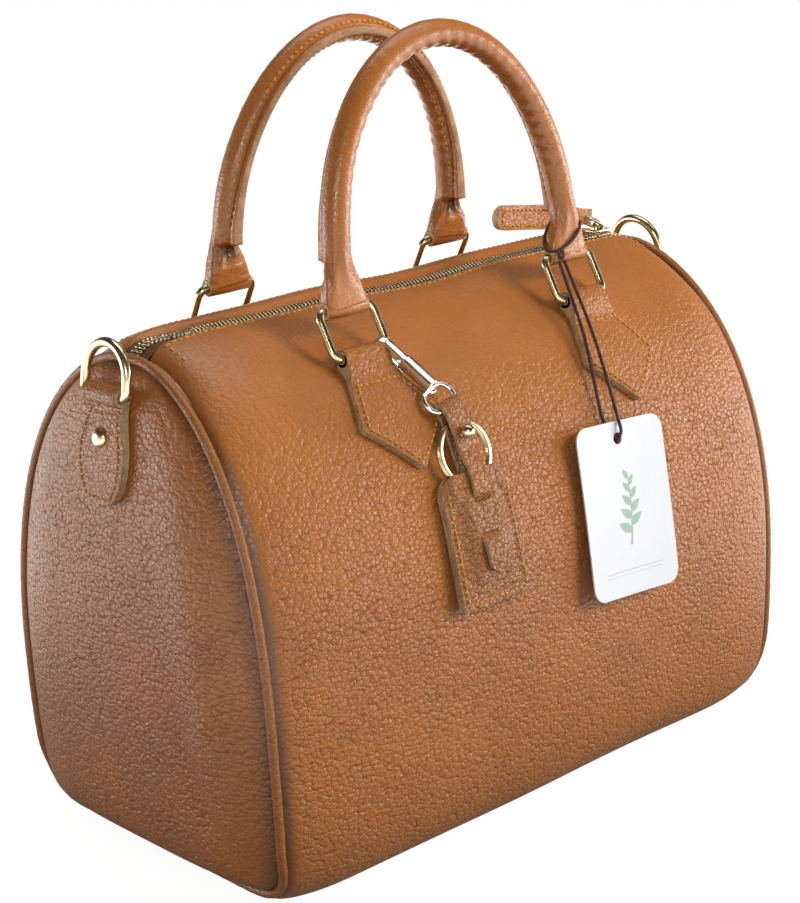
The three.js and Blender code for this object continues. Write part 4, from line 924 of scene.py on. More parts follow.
def tab_half(arc):
    flare = mix(TAB_LOOP_HALF, TAB_HALF, np.clip((arc - TAB_NECK) / (TAB_SHOULDER - TAB_NECK), 0, 1))
    point = mix(TAB_HALF, 0.6, np.clip((arc - TAB_SHOULDER) / (TAB_TIP - TAB_SHOULDER), 0, 1))
    return np.where(arc <= TAB_SHOULDER, flare, point)


def leather_loop(middle, across, up, half, wire, thickness):
    """Points, faces and edge marks of a leather loop round a bar."""
    inner = wire / 2 + LOOP_PLAY
    outer = inner + thickness + 0.15
    crown = outer + 0.12
    profile = [(half, inner), (half, outer - LOOP_EDGE), (half - LOOP_EDGE, outer), (0, crown),
               (LOOP_EDGE - half, outer), (-half, outer - LOOP_EDGE), (-half, inner)]
    steps = 36
    out = np.cross(across, up)
    rings = np.array([[middle + across * a + r * (up * math.cos(t) + out * math.sin(t)) for a, r in profile]
                      for t in full_turn(steps)])
    cut_sides = np.array([1, 0, 0, 0, 0, 1, 0])
    return rings.reshape(-1, 3), grid_faces(steps, len(profile), True, True), np.tile(cut_sides, steps)


def make_tab(name, side, x):
    arcs = np.concatenate([np.linspace(TAB_ARC, TAB_NECK, 6), np.linspace(TAB_NECK, TAB_SHOULDER, 16)[1:],
                           np.linspace(TAB_SHOULDER, TAB_TIP, 14)[1:]])
    f = np.linspace(-1, 1, 25)
    down = arcs[:, None]
    across = x + tab_skew(side, down) + tab_half(down) * f
    puff = 0.35 * (1 - np.abs(f) ** 6)
    wedge = (TAB_WEDGE - TAB_LIFT) * (1 - smooth(TAB_ARC, TAB_ARC + 13, down))
    sheet = slab(surface(side, across, down, TAB_LIFT + puff + wedge), surface(side, across, down, 0.05))
    bar = mirrored(RING_LOWER, side) + x * X_AXIS
    up = leaning_up(side, RING_LEAN)
    loop = leather_loop(bar, X_AXIS, up, TAB_LOOP_HALF, RING_LOOK, LEATHER - 0.3)
    make_leather(name + "_leather", merged_marked(sheet, loop), TRIM_FINISH, "bag", [name], 0.7, True)


def make_tab_stitches(name, side, x):
    rim = np.linspace(TAB_SEAM_TOP, TAB_TIP - 3.6, 60)
    line = np.maximum(tab_half(rim) - 3.0, 0.05)
    left, right = (joined(x + tab_skew(side, rim) + sign * line, rim) for sign in (-1, 1))
    neck = joined(np.linspace(x - 10, x + 10, 8), TAB_SEAM_TOP)
    rows = [surface(side, *path.T, TAB_LIFT + 0.42) for path in (np.concatenate([left, right[::-1]]), neck)]
    sew(name + "_stitches", rows, TAB_STITCH, "bag")


def make_ring(row, end, side, x):
    bar = mirrored(RING_LOWER, side) + x * X_AXIS
    up = leaning_up(side, RING_LEAN)
    make_wire_loop(f"{row}_{end}_ring_wire", rounded_loop(*RING_SIZE), bar, X_AXIS, up, RING_LOOK, RING_STEPS,
                   f"{row}_rings", f"{row}_{end}_ring")


def handle_line(count, above=-1):
    """The middle line of a handle above a height: places along X and up from the ring's bar."""
    wide = SPAN / 2 + 1
    leg = joined(np.linspace(SPAN / 2, wide, 14), np.linspace(0.2, HANDLE_STRAIGHT, 14))
    turn = np.linspace(0, np.pi, 180)[1:-1]
    arch = joined(wide * np.cos(turn), HANDLE_STRAIGHT + (HANDLE_RISE - HANDLE_STRAIGHT) * np.sin(turn))
    line = resample(np.concatenate([leg, arch, leg[::-1] * np.array([-1, 1])]), count)
    return line[line[:, 1] > above]


def handle_size(up):
    """Half the width and half the thickness of a handle at a height above the ring's bar."""
    grip = mix(GRIP_LOW, GRIP_HIGH, smooth(24, HANDLE_RISE, up)) / 2
    wide = mix(HANDLE_FOOT_HALF, grip, smooth(-2, 26, up))
    return wide, mix(LOOP_RADIUS + 0.1, grip, smooth(LOOP_RADIUS, 22, up))


def on_handle(side, line):
    """Points of the line, the direction up the handle, and the direction across its plane."""
    up = leaning_up(side, HANDLE_LEAN)
    return mirrored(RING_UPPER, side) + line[:, :1] * X_AXIS + line[:, 1:] * up, up, np.cross(X_AXIS, up)


def make_handle(name, side):
    """A rolled handle with a leather loop on each of its two rings."""
    line = handle_line(HANDLE_STEPS)
    place, up, normal = on_handle(side, line)
    low = line[:, 1:]
    flatness = mix(4.0, 2.0, smooth(0, 20, line[:, 1]))
    rings = planar_tube(place, normal, *handle_size(line[:, 1]), HANDLE_SIDES, False, flatness)
    # Wrinkles across the grip, deepest on the inside of the curve.
    turn = full_turn(HANDLE_SIDES)
    inward = np.clip(np.cos(turn), 0, 1) ** 1.3
    s = np.linspace(0, WRINKLE_RUN, len(line))[:, None]
    fold = np.sin(s / 1.35 + 1.6 * np.sin(s / 11) + np.sin(turn * 3)) * smooth(20, 60, low)
    press = 0.24 * fold * inward + 0.05 * fold + 0.28 * ripple(s * 2.2, turn * 30, 3 + side)
    pinch = (1 - smooth(14, 30, low)) * smooth(5, 11, low) * 0.45 * np.sin(turn * 9 + s / 5)
    # The roll is open above its foot, on the face towards the other handle: a dent there, darkened with
    # painted shade.
    facing = np.clip(-side * np.sign(normal[1]) * np.sin(turn), 0, 1) ** 0.8
    hollow = smooth(8.5, 15, low) * smooth(20.5, 18.8, low) * facing
    out = unit(rings - place[:, None])
    points, faces = skin(rings + out * (press + pinch - HOLLOW_DEPTH * hollow)[..., None])
    meshes = [(points, faces, np.zeros(len(faces), int))]
    for end in (LEFT, RIGHT):
        bar = mirrored(RING_UPPER, side) + end * SPAN / 2 * X_AXIS
        meshes.append(leather_loop(bar, X_AXIS, up, HANDLE_LOOP_HALF, RING_LOOK, LEATHER - 0.3))
    shade = np.zeros(sum(len(m[0]) for m in meshes))
    # Painted shade in the hollow.
    shade[:hollow.size] = np.clip(1.15 * hollow ** 2, 0, 1).reshape(-1)
    make_leather(name + "_roll", merged_marked(*meshes), HANDLE_FINISH, name, [name], 0.5, shade=shade)


def make_flange(name, side):
    """The sewn flange on the face towards the other handle, its raw edge showing, with stitches each side."""
    line = handle_line(HANDLE_STEPS, FLANGE_FROM)
    base, _, normal = on_handle(side, line)
    wide, _ = handle_size(line[:, 1])
    lean = np.broadcast_to(normal * np.sign(-side * normal[1]), base.shape)
    across = unit(np.cross(lean, np.gradient(base, axis=0)))
    sides = 16
    half = mix(2.9, 1.9, smooth(22, 52, line[:, 1]))
    middle = base + lean * (wide + 0.4)[:, None]
    points, faces = skin(ring_grid(middle, lean, across, FLANGE_HEIGHT, half, sides, 6.0))
    raw_sides = np.cos((np.arange(sides) + 0.5) * 2 * np.pi / sides) > 0.75
    marks = np.concatenate([np.tile(raw_sides, len(line) - 1).astype(int), [1, 1]])
    make_leather(name + "_flange", (points, faces, marks), [handle_leather, raw_edge], name, (), 0.5)
    rows = [base + (lean * 0.81 + across * face * 0.59) * (wide + 0.15)[:, None] for face in (-1, 1)]
    sew(name + "_stitches", [row[8:-8] for row in rows], LONG_STITCH, name)


def make_core(name, side):
    """The rope inside a rolled handle, laid in three strands."""
    line = handle_line(150, CORE_FROM)
    place, _, normal = on_handle(side, line)
    sides = 18
    twist = 0.55 * np.arange(len(line))[:, None]
    strand = CORE_RADIUS + STRAND_RELIEF * np.cos(3 * full_turn(sides) + twist)
    round_it = planar_tube(place, normal, 1, 1, sides) - place[:, None]
    rings = place[:, None] + round_it * strand[..., None]
    make_piece(name + "_rope", *skin(rings), core_cloth, name, "core_rope", [name + "_core"])


# Strap tabs and D-rings

STRAP_TOP, STRAP_LOOP_X, STRAP_LEAN = 219, 169.538, 9  # the loop's middle, and degrees
STRAP_NECK_HALF, STRAP_WIDE_HALF, STRAP_TIP_HALF = 12, 16.5, 4.5
STRAP_STRAIGHT, STRAP_ROUND = 26, 20  # lengths of the straight part and of the round end
STRAP_LIFT, STRAP_STITCH_LIFT = 3.9, 4.25
D_RING_WIDTH, D_RING_HEIGHT, D_RING_CORNER, D_RING_WIRE = 29, 22, 3, 4.3
RIVET_DROP, RIVET_SEAT = 18, 3.6
RIVET_PROFILE = [(1.8, -2.4), (1.8, 0.2), (4.1, 0.25), (4.4, 0.6), (4.25, 1.2), (3.6, 2.1), (2.6, 2.75),
                 (1.3, 3.1), (0.02, 3.2)]


def strap_half(drop):
    neck = mix(STRAP_NECK_HALF, STRAP_WIDE_HALF, smooth(2, STRAP_STRAIGHT, drop))
    share = np.clip((drop - STRAP_STRAIGHT) / STRAP_ROUND, 0, 1)
    end = mix(STRAP_TIP_HALF, STRAP_WIDE_HALF, np.sqrt(1 - share ** 2))
    return np.where(drop <= STRAP_STRAIGHT, neck, end)


def strap_loop(side):
    """The middle of the loop and the direction up its ring."""
    lean = math.radians(STRAP_LEAN)
    middle = np.array([side * STRAP_LOOP_X, 0, STRAP_TOP])
    return middle, np.array([-side * math.sin(lean), 0, math.cos(lean)])


def make_strap_tab(name, side):
    round_end = STRAP_STRAIGHT + STRAP_ROUND * np.sin(np.linspace(0, np.pi / 2, 14))[1:]
    drops = np.concatenate([np.linspace(0, STRAP_STRAIGHT, 16), round_end])[:, None]
    f = np.linspace(-1, 1, 21)
    y, z = spread(strap_half(drops) * f, STRAP_TOP - drops)
    base = gusset_x(0, z)
    outer = joined(side * (base + STRAP_LIFT + 0.25 * (1 - f ** 6)), y, z)
    bar, up = strap_loop(side)
    loop = leather_loop(bar, Y_AXIS, up, STRAP_NECK_HALF, 4, LEATHER)
    mesh = merged_marked(slab(outer, joined(side * (base + 0.2), y, z)), loop)
    make_leather(name + "_strap_tab_leather", mesh, TRIM_FINISH, "bag", [name + "_strap_tab"], 0.7, True)


def make_strap_stitches(name, side):
    rim = np.linspace(8, 43.2, 40)
    line = np.maximum(strap_half(rim) - 3, 0.2)
    near, far = (joined(sign * line, STRAP_TOP - rim) for sign in (-1, 1))
    neck = joined(np.linspace(-9, 9, 8), STRAP_TOP - 7.5)
    rows = [joined(side * (gusset_x(0, path[:, 1]) + STRAP_STITCH_LIFT), *path.T)
            for path in (np.concatenate([near, far[::-1]]), neck)]
    sew(name + "_strap_tab_stitches", rows, STITCH, "bag")


def make_d_ring(name, side):
    half = D_RING_WIDTH / 2
    corner = D_RING_CORNER
    bow = np.array(arc_points(0, D_RING_HEIGHT - half, half, 0, 180, 39))
    right = np.array(arc_points(half - corner, corner, corner, -90, 0, 7))
    loop = np.concatenate([right, bow, right[::-1] * np.array([-1, 1])])
    bar, up = strap_loop(side)
    make_wire_loop(name + "_d_ring_wire", loop, bar, Y_AXIS, up, D_RING_WIRE, RING_STEPS, name + "_d_ring",
                   name + "_d_ring")


def make_tab_rivet(name, side):
    z = STRAP_TOP - RIVET_DROP
    slope = math.atan2(float(gusset_x(0, z - 4) - gusset_x(0, z + 4)), 8)
    out = np.array([side * math.cos(slope), 0, math.sin(slope)])
    seat = np.array([side * float(gusset_x(0, z) + RIVET_SEAT), 0, z])
    rings = stand(lathe(RIVET_PROFILE), seat, Y_AXIS, np.cross(out, Y_AXIS), out)
    make_metal(name + "_rivet_dome", skin(rings), gold, "bag", [name + "_tab_rivet"])


# Zip

ZIP_END_LEVEL, ZIP_LEVEL, ZIP_TILT = 236.4, 235.9, 1.5
TAPE_HALF_THICK = 0.3
TAPE_NEAR, TAPE_FAR = 2.4, 6.7  # from the middle, beside the teeth
TAPE_END_NEAR, TAPE_END_FAR, TAPE_END_X = 0.6, 8.6, 156
TOOTH_PITCH, TOOTH_AT = 2.1, 1.55
TOOTH_LEAN = 24  # degrees
TOOTH_SHAPE = [(-0.56, -1.9), (0.56, -1.9), (0.56, 1.3), (0.3, 1.9), (-0.3, 1.9), (-0.56, 1.3)]
SPREAD_AT_SLIDER = 0.9
END_TEETH_X, STOP_X = 153, 154.4
# Where the front and the rear row of teeth start at each end, so that they mesh
END_TEETH_START = {LEFT: (1.7, 0.65), RIGHT: (0.4, 1.45)}
ZIP_SEAM_ARC, ZIP_SEAM_X = 4.6, 145


def zip_height(x, y=0.0):
    """Height of the zip, which leans to the front between its ends."""
    run = 1 - smooth(100, 119, np.abs(x))
    tilt = ZIP_TILT * run * np.tanh(np.asarray(y, float) / 3)
    return mix(ZIP_END_LEVEL, ZIP_LEVEL, run) - zip_sag(x) + tilt


def tape_strip(x, y, drop):
    """A strip of tape a little below the teeth."""
    middle = joined(x[:, None], y, zip_height(x[:, None], y) - drop)
    return slab(middle + TAPE_HALF_THICK * Z_AXIS, middle - TAPE_HALF_THICK * Z_AXIS)[:2]


def make_tape(name, side):
    """The tape on one side of the zip's opening."""
    tape = tape_strip(np.linspace(-MOUTH, MOUTH, 160), side * np.linspace(TAPE_NEAR, TAPE_FAR, 7), 0.2)
    make_piece(name + "_tape", *tape, tape_cloth, name + "_zip_flap", "zip_tape", [name + "_zip_tape"])


def make_teeth(name, side):
    """The teeth of one side, half a pitch on from those of the other."""
    shift = 0.0 if side == FRONT else TOOTH_PITCH / 2
    x = np.linspace(-MOUTH + 0.4 + shift, MOUTH - 0.5, 240)
    y = side * TOOTH_AT
    row = joined(x, y, zip_height(x, y))
    repeat_along(name + "_teeth", [row], tooth, TOOTH_PITCH, name + "_zip_flap",
                 [name + "_zip_teeth"])


def make_zip_stitches(name, side):
    """The stitches along the folded leather beside the zip."""
    lift = -0.15 * side
    rows = [surface(side, np.linspace(1 - ZIP_SEAM_X, ZIP_SEAM_X - 1, 200), ZIP_SEAM_ARC, lift)]
    down = np.linspace(ZIP_SEAM_ARC, 15, 8)
    rows += [surface(side, end * ZIP_SEAM_X, down, lift) for end in (LEFT, RIGHT)]
    sew(name + "_zip_stitches", rows, LONG_STITCH, "bag")


def make_tape_end(name, side):
    """The two strips of tape that stay shut at one end of the zip."""
    x = side * np.linspace(MOUTH + 0.2, TAPE_END_X, 24)
    across = np.linspace(TAPE_END_NEAR, TAPE_END_FAR, 7)
    tape = merged(*(tape_strip(x, y, TAPE_HALF_THICK) for y in (-across[::-1], across)))
    make_piece(name + "_tape_end", *tape, tape_cloth, "bag", "zip_tape", [name + "_zip_tape"])


def make_end_teeth(name, side):
    """The teeth that stay shut, wider apart where the slider stops."""
    slider_at = SLIDER_X if side == RIGHT else SLIDER_X - SLIDE
    rows = []
    for row_side, start in zip((FRONT, REAR), END_TEETH_START[side]):
        along = np.sort(side * np.linspace(MOUTH + start, END_TEETH_X, 60))
        wider = SPREAD_AT_SLIDER * (1 - smooth(3.5, 6.5, np.abs(along - slider_at)))
        apart = row_side * (TOOTH_AT + wider)
        rows.append(joined(along, apart, zip_height(along, apart)))
    repeat_along(name + "_teeth_end", rows, flat_tooth, TOOTH_PITCH, "bag",
                 [name + "_zip_stop"])


def make_stop_bar(name, side):
    points, faces = bevelled_prism(rectangle(-1.4, 1.4, -3.2, 3.2), -1.4, 1.5, 0.6)
    at = np.array([side * STOP_X, 0, float(zip_height(side * STOP_X))])
    make_metal(name + "_stop_bar", (points + at, faces), zip_metal, "bag", sharp=True)


def make_tooth(name, degrees):
    """One zip tooth: a bar across the tape with a rounded head, tipped about its length."""
    points, faces = bevelled_prism(TOOTH_SHAPE, -1.2, 1.35, 0.28)
    lean = math.radians(degrees)
    across = math.cos(lean) * Y_AXIS + math.sin(lean) * Z_AXIS
    above = math.cos(lean) * Z_AXIS - math.sin(lean) * Y_AXIS
    return make_template(name, stand(points, (0, 0, 0), X_AXIS, across, above), faces, zip_metal)


def mirrored_shape(half_shape):
    """A whole outline from the half of it below the X axis."""
    return half_shape + [(x, -y) for x, y in half_shape[::-1]]


PULL_RING_AT, PULL_RING_RADIUS, PULL_RING_WIRE, PULL_RING_RISE = 240.7, 6.5, 1.7, 34  # the rise in degrees
SLIDER_HALF, SLIDER_WIDE, SLIDER_NOSE = 6.5, 4.6, 3.5
# Heights of the slider's two plates and of its post
SLIDER_TOP, SLIDER_UNDER, SLIDER_POST = (238.5, 239.9), (232.9, 234.2), (233.5, 239.2)
CROWN_FOOT, CROWN_HALF, CROWN_RISE = 239.0, 2.9, 3.9


def make_slider():
    half, wide, nose = SLIDER_HALF, SLIDER_WIDE, SLIDER_NOSE
    shape = mirrored_shape([(-half, -2.6), (-half + 1, -3.3), (-nose, -3.4), (nose, -wide),
                            (half - 0.8, -wide + 0.4), (half, -3)])
    top = bevelled_prism(shape, *SLIDER_TOP, 0.5)
    under = bevelled_prism(shape, *SLIDER_UNDER, 0.4)
    post = bevelled_prism(rectangle(-3, 3, -0.4, 0.4), *SLIDER_POST, 0.1)
    turn = np.linspace(0, np.pi, 15)
    arch = joined(CROWN_HALF * np.cos(turn), 0, CROWN_FOOT + CROWN_RISE * np.sin(turn) ** 0.8)
    crown = skin(planar_tube(arch, Y_AXIS, 0.6, 1.6, 14, False, 3.0))
    points, faces = merged(top, under, post, crown)
    make_metal("slider_body", (points + SLIDER_X * X_AXIS, faces), gold, "zip_slider", ["zip_slider"], True)


def make_pull_ring():
    rise = math.radians(PULL_RING_RISE)
    toward = np.array([-math.cos(rise), 0, math.sin(rise)])
    turn = full_turn(64)
    ring = PULL_RING_RADIUS * joined(np.cos(turn), np.sin(turn))
    middle = np.array([SLIDER_X, 0, PULL_RING_AT]) + toward * PULL_RING_RADIUS
    make_wire_loop("pull_ring_wire", ring, middle, Y_AXIS, toward, PULL_RING_WIRE, len(ring), "zip_pull_ring",
                   "zip_pull_ring")


PULL_HOLE = np.array([127.223, 0, 247.970])
PULL_RISE = math.radians(8)
PULL_ALONG = np.array([-math.cos(PULL_RISE), 0, math.sin(PULL_RISE)])
PULL_ABOVE = np.array([math.sin(PULL_RISE), 0, math.cos(PULL_RISE)])
PULL_START, PULL_STRAIGHT, PULL_HALF, PULL_HALF_THICK = -4.4, 57.6, 6, 1.6
PULL_SEAM, PULL_SEAM_OUT = 2.2, 2.0  # in from the pull's edge and out from its middle
PULL_CURL, PULL_CURL_RUN = 0.8, 21


def pull_half(s):
    return PULL_HALF * mix(0.62, 1.0, smooth(PULL_START, 20, s))


def on_pull(along, above, out):
    """A point of the pull, which has a slight curl."""
    along, above, out = (v[..., None] for v in spread(along, above, out))
    place = PULL_HOLE + along * PULL_ALONG + above * PULL_ABOVE
    return place + (out + PULL_CURL * np.sin(along / PULL_CURL_RUN)) * Y_AXIS


def make_pull():
    """The leather strip on the zip's ring, on edge."""
    round_end = PULL_STRAIGHT + PULL_HALF * np.sin(np.linspace(0, np.pi / 2, 12))[1:]
    s = np.concatenate([np.linspace(PULL_START, PULL_STRAIGHT, 40), round_end])[:, None]
    end = np.sqrt(np.clip(1 - np.clip((s - PULL_STRAIGHT) / 6.05, 0, 1) ** 2, 0, 1))
    f = np.linspace(-1, 1, 15)
    across = pull_half(s) * np.maximum(end, 0.08) * f
    thick = PULL_HALF_THICK + 0.25 * (1 - f ** 4)
    sheet = slab(on_pull(s, across, -thick), on_pull(s, across, thick))
    make_leather("pull_leather", sheet, TRIM_FINISH, "zip_pull", ["zip_pull"], 0.6, True)


def make_pull_stitches():
    """A row of stitches round each face of the pull."""
    t = np.linspace(6, 55.5, 40)
    upper, lower = (joined(t, sign * (pull_half(t) - PULL_SEAM)) for sign in (1, -1))
    path = np.concatenate([upper, arc_points(56, 0, PULL_HALF - PULL_SEAM, 90, -90, 15), lower[::-1]])
    rows = [on_pull(*path.T, face * PULL_SEAM_OUT) for face in (-1, 1)]
    sew("pull_stitches", rows, STITCH, "zip_pull")


# Key fob: the hook, its gate and its swivel eye

HOOK_AT = np.array([-56.8874, -50.4210, 224.3421])
HOOK_AXIS = unit([0.3383, -0.6657, -0.6652])
HOOK_ACROSS = unit([0.9382, 0.1835, 0.2935])
HOOK_OUT = np.cross(HOOK_AXIS, HOOK_ACROSS)
HOOK_LENGTH = 27.499
HOOK_INNER, HOOK_OUTER, HOOK_GROOVE = 3.1, 4.5, -2.0
HOOK_BEND = -0.2  # the middle of its bend, along the hook
BACK_INNER, BACK_OUTER = 3.9, 5.0  # the broad rib round the bend
CASE_START, CASE_LOW = 9.6, -0.4
EYE_LOOP = (17, 11.2, 5.4)  # width, height and corner


def on_hook(points):
    """From the hook's own frame: along it, out of the bag and across."""
    return stand(points, HOOK_AT, HOOK_AXIS, HOOK_OUT, np.cross(HOOK_AXIS, HOOK_OUT))


def make_hook():
    inner, outer, groove, end = HOOK_INNER, HOOK_OUTER, HOOK_GROOVE, HOOK_LENGTH
    shape = [(end, -outer + 0.4), (end, outer - 0.4), (end - 1, outer),
             *arc_points(HOOK_BEND, 0, outer, 90, 270, 18), (0.8, -outer), (0.8, -inner),
             *arc_points(HOOK_BEND, 0, inner, 270, 90, 14), (CASE_START, inner), (10, groove),
             (end - 2.2, groove), (end - 2.2, -outer)]
    body = bevelled_prism(shape, -1.3, 1.3, 0.45)
    rib = [*arc_points(HOOK_BEND, 0, BACK_OUTER, 90, 205, 16),
           *arc_points(HOOK_BEND, 0, BACK_INNER, 205, 90, 16), (9.9, BACK_INNER), (9.9, BACK_OUTER)]
    back = bevelled_prism(rib, -1.2, 3.0, 0.5)
    low, high = CASE_LOW, outer + 0.3
    case = [(CASE_START, low), (end - 0.2, low), (end - 0.2, high - 1), (end - 1.2, high),
            (CASE_START + 1, high), (CASE_START, high - 1)]
    points, faces = merged(body, back, bevelled_prism(case, -2.6, 2.6, 0.8))
    make_metal("hook_body", (on_hook(points), faces), bright, "snap_hook", ["snap_hook"], True)


def make_gate():
    bar = bevelled_prism(rectangle(1.1, 13.5, -HOOK_OUTER, HOOK_GROOVE - 0.3), -1.5, 1.5, 0.45)
    thumb = lathe([(0.9, 0), (0.9, 2.4), (1.5, 2.7), (1.6, 3.4), (1.1, 4.0), (0.02, 4.1)], 16)
    thumb = stand(thumb, (8.0, -3.2, 0), X_AXIS, -Y_AXIS, -Z_AXIS)
    points, faces = merged(bar, skin(thumb))
    make_metal("gate_bar", (on_hook(points), faces), bright, "snap_gate", ["snap_gate"], True)


def make_eye():
    loop = resample(rounded_loop(*EYE_LOOP), 90, True)
    path = joined(HOOK_LENGTH - 0.6 + loop[:, 1], 0, loop[:, 0])
    rings = planar_tube(path, Y_AXIS, 1.3, 1.3, 14, True)
    stem = lathe([(0.8, -4.2), (0.8, -0.6), (1.5, 0.2), (1.9, 1.2), (1.5, 2.2), (0.02, 2.5)], 18)
    stem = stand(stem, HOOK_LENGTH * X_AXIS, Y_AXIS, Z_AXIS, X_AXIS)
    points, faces = merged(skin(rings, True), skin(stem))
    make_metal("swivel_loop", (on_hook(points), faces), bright, "swivel_eye", ["swivel_eye"])


# Key fob: strap, tag, stud and key ring

FOB_LENGTH = 83.5
FOB_LINE = ((-44.0, 73), (-42.0, 82), (-42.0, 99))  # along the bag and down it: start, bend and end
FOB_SETTLE, FOB_LOOP_LIFT, FOB_STAND = 22, 3, 2
# Levels above the leather, from the strap's back to the strap over the tag
FOB_MID = 4.6
FOLD = 2.3
BACK = FOB_MID - FOLD
FACE = FOB_MID + FOLD
UNDER = BACK + 1.9
PANEL = FOB_MID + 2.05
OVER = PANEL + 2.2
STRAP_TIP, STRAP_HALF, STRAP_HALF_THICK = 69.5, 5, 0.78
# Places down the tag
TAG_TOP, TAG_SHOULDER, TAG_NECK_HALF, TAG_HALF = 26, 37, 8.5, 20.1
TAG_SLOTS, TAG_SLOT_HALF = ((37.0, 39.9), (52.6, 55.6)), 5.4
TAG_UNDERSIDE, TAG_BACK_ABOVE, TAG_FRONT_ABOVE = 1.2, 1.1, 0.8  # from a leather's level to its faces
FOB_SEAM_END = 80.6
STUD_PLACE, STUD_BALL = 12, 3.2
KEY_RING_AT, KEY_RING_RADIUS = np.array([-42.5345, -83.3497, 179.4429]), 14
KEY_RING_AXIS = unit([0, 0.9448, -0.3276])


def make_fob_line():
    start, bend, end = np.array(FOB_LINE, float)
    t = np.linspace(0, 1, 200)[:, None]
    curve = (1 - t) ** 2 * start + 2 * t * (1 - t) * bend + t * t * end
    return length_along(curve), curve, unit(np.gradient(curve, axis=0))


FOB_S, FOB_CURVE, FOB_TANGENT = make_fob_line()


def on_fob(along, across, lift):
    """A point of the fob as it hangs on the front."""
    along, across, lift = spread(along, across, lift)
    held = np.clip(along, 0, FOB_S[-1])
    x, arc = (np.interp(held, FOB_S, part) for part in FOB_CURVE.T)
    tx, ta = (np.interp(held, FOB_S, part) for part in FOB_TANGENT.T)
    over = along - held
    x = x + tx * over + ta * across
    arc = arc + ta * over - tx * across
    y, z, ny, nz = outline(arc)
    low = np.clip(along / FOB_LENGTH - 0.6, 0, None) / 0.4
    out = BULGE + lift + FOB_LOOP_LIFT * (1 - smooth(0, FOB_SETTLE, along)) + FOB_STAND * low ** 2
    return joined(x, -(y + ny * out), z + BULGE + nz * out)


def strap_path():
    """Places along the fob and lifts of its strap, from the tip through the slots and round the eye."""
    dive = [(0, OVER), (1, OVER - 0.3), (5, UNDER + 0.3), (6, UNDER)]
    line = [(STRAP_TIP, OVER + 0.2), (65, OVER + 0.6), (60, OVER + 0.4)]
    line += [(57 - a, lift) for a, lift in dive]
    line += [(35.5 + a, lift) for a, lift in dive[::-1]]
    line += [(31, OVER + 0.5), (25, OVER), (18, FACE), (12, FACE), (6.5, FACE)]
    line += arc_points(0, FOB_MID, FOLD, 90, 270, 12)
    line += [(6.5, BACK), (14, BACK), (20, BACK), (32, BACK)]
    return resample(line, 150)


def tag_half(along):
    shoulder = np.clip((along - TAG_TOP) / (TAG_SHOULDER - TAG_TOP), 0, 1)
    return mix(TAG_NECK_HALF, TAG_HALF, np.sqrt(1 - (1 - shoulder) ** 2)) + 0.4 * smooth(40, 83, along)


def tag_lift(along, across, lift, rise):
    """The tag's level, raised along its middle and more widely at its top."""
    width = 1 - smooth(7.5, 15, np.abs(across))
    width = np.maximum(width, (1 - smooth(34, 42, along)) * (1 - smooth(14, 19, np.abs(across))))
    return lift + rise * width * (1 - smooth(66, 82, along))


def tag_panel(start, lift, rise, above):
    """One leather of the tag, and the places along and across it of its points."""
    top = np.linspace(start, TAG_SHOULDER, 12)
    rows = np.unique(np.concatenate([top, np.linspace(TAG_SHOULDER, FOB_LENGTH, 60)]))
    f = np.linspace(-1, 1, 41)
    along, across = spread(rows[:, None], tag_half(rows)[:, None] * f)
    level = tag_lift(along, across, lift, rise)
    puff = 0.25 * (1 - np.abs(f) ** 8)
    outer = on_fob(along, across, level + above + puff)
    return slab(outer, on_fob(along, across, level - TAG_UNDERSIDE)), along, across


def slotted(sheet, along, across):
    """A sheet without the quads where the strap goes through it, and with walls round these slots."""
    points, faces, marks = sheet
    middle_along = (along[:-1, :-1] + along[1:, 1:]) / 2
    middle_across = (across[:-1, :-1] + across[1:, 1:]) / 2
    cut = np.zeros(middle_along.shape, bool)
    for low, high in TAG_SLOTS:
        cut |= (np.abs(middle_across) < TAG_SLOT_HALF) & (middle_along > low) & (middle_along < high)
    keep = np.ones(len(faces), bool)
    keep[:2 * cut.size] = both_faces(~cut)
    walls = []
    at = np.arange(along.size).reshape(along.shape)
    for r, c in zip(*np.nonzero(cut)):
        around = [((r - 1, c), at[r, c], at[r, c + 1]), ((r + 1, c), at[r + 1, c + 1], at[r + 1, c]),
                  ((r, c - 1), at[r + 1, c], at[r, c]), ((r, c + 1), at[r, c + 1], at[r + 1, c + 1])]
        walls += [(a, b, b + along.size, a + along.size) for cell, a, b in around if not cut[cell]]
    return (points, np.concatenate([faces[keep], np.array(walls)]),
            np.concatenate([marks[keep], np.ones(len(walls), int)]))


def make_fob_strap():
    """The strap with the tag's back."""
    line = strap_path()
    tangent = unit(np.gradient(line, axis=0))
    normal = joined(tangent[:, 1], -tangent[:, 0])
    f = np.linspace(-1, 1, 9)
    tip = np.sqrt(np.clip(1 - np.clip((line[:, 0] - STRAP_TIP + 5) / 5.02, 0, 1) ** 2, 0, 1))
    near_tip = np.arange(len(line)) < 40
    half = STRAP_HALF * np.where(near_tip, np.maximum(tip, 0.1), 1)
    half = half * np.where(line[:, 0] < 24, mix(1.2, 1.0, smooth(0, 24, line[:, 0])), 1)
    grids = []
    for face in (1, -1):
        q = line + face * normal * STRAP_HALF_THICK
        grids.append(on_fob(q[:, :1], half[:, None] * f, q[:, 1:]))
    back, _, _ = tag_panel(TAG_TOP, BACK, 0, TAG_BACK_ABOVE)
    strap = merged_marked(slab(*grids), back)
    make_leather("fob_strap_leather", strap, FOB_FINISH, "fob", ["fob_strap"], 0.8, True)


def make_fob_front():
    """The front of the tag, with the slots for the strap."""
    front = slotted(*tag_panel(TAG_TOP + 1, UNDER, PANEL - UNDER, TAG_FRONT_ABOVE))
    make_leather("fob_front_leather", front, FOB_FINISH, "fob", ["fob_front"], 1.0, True)


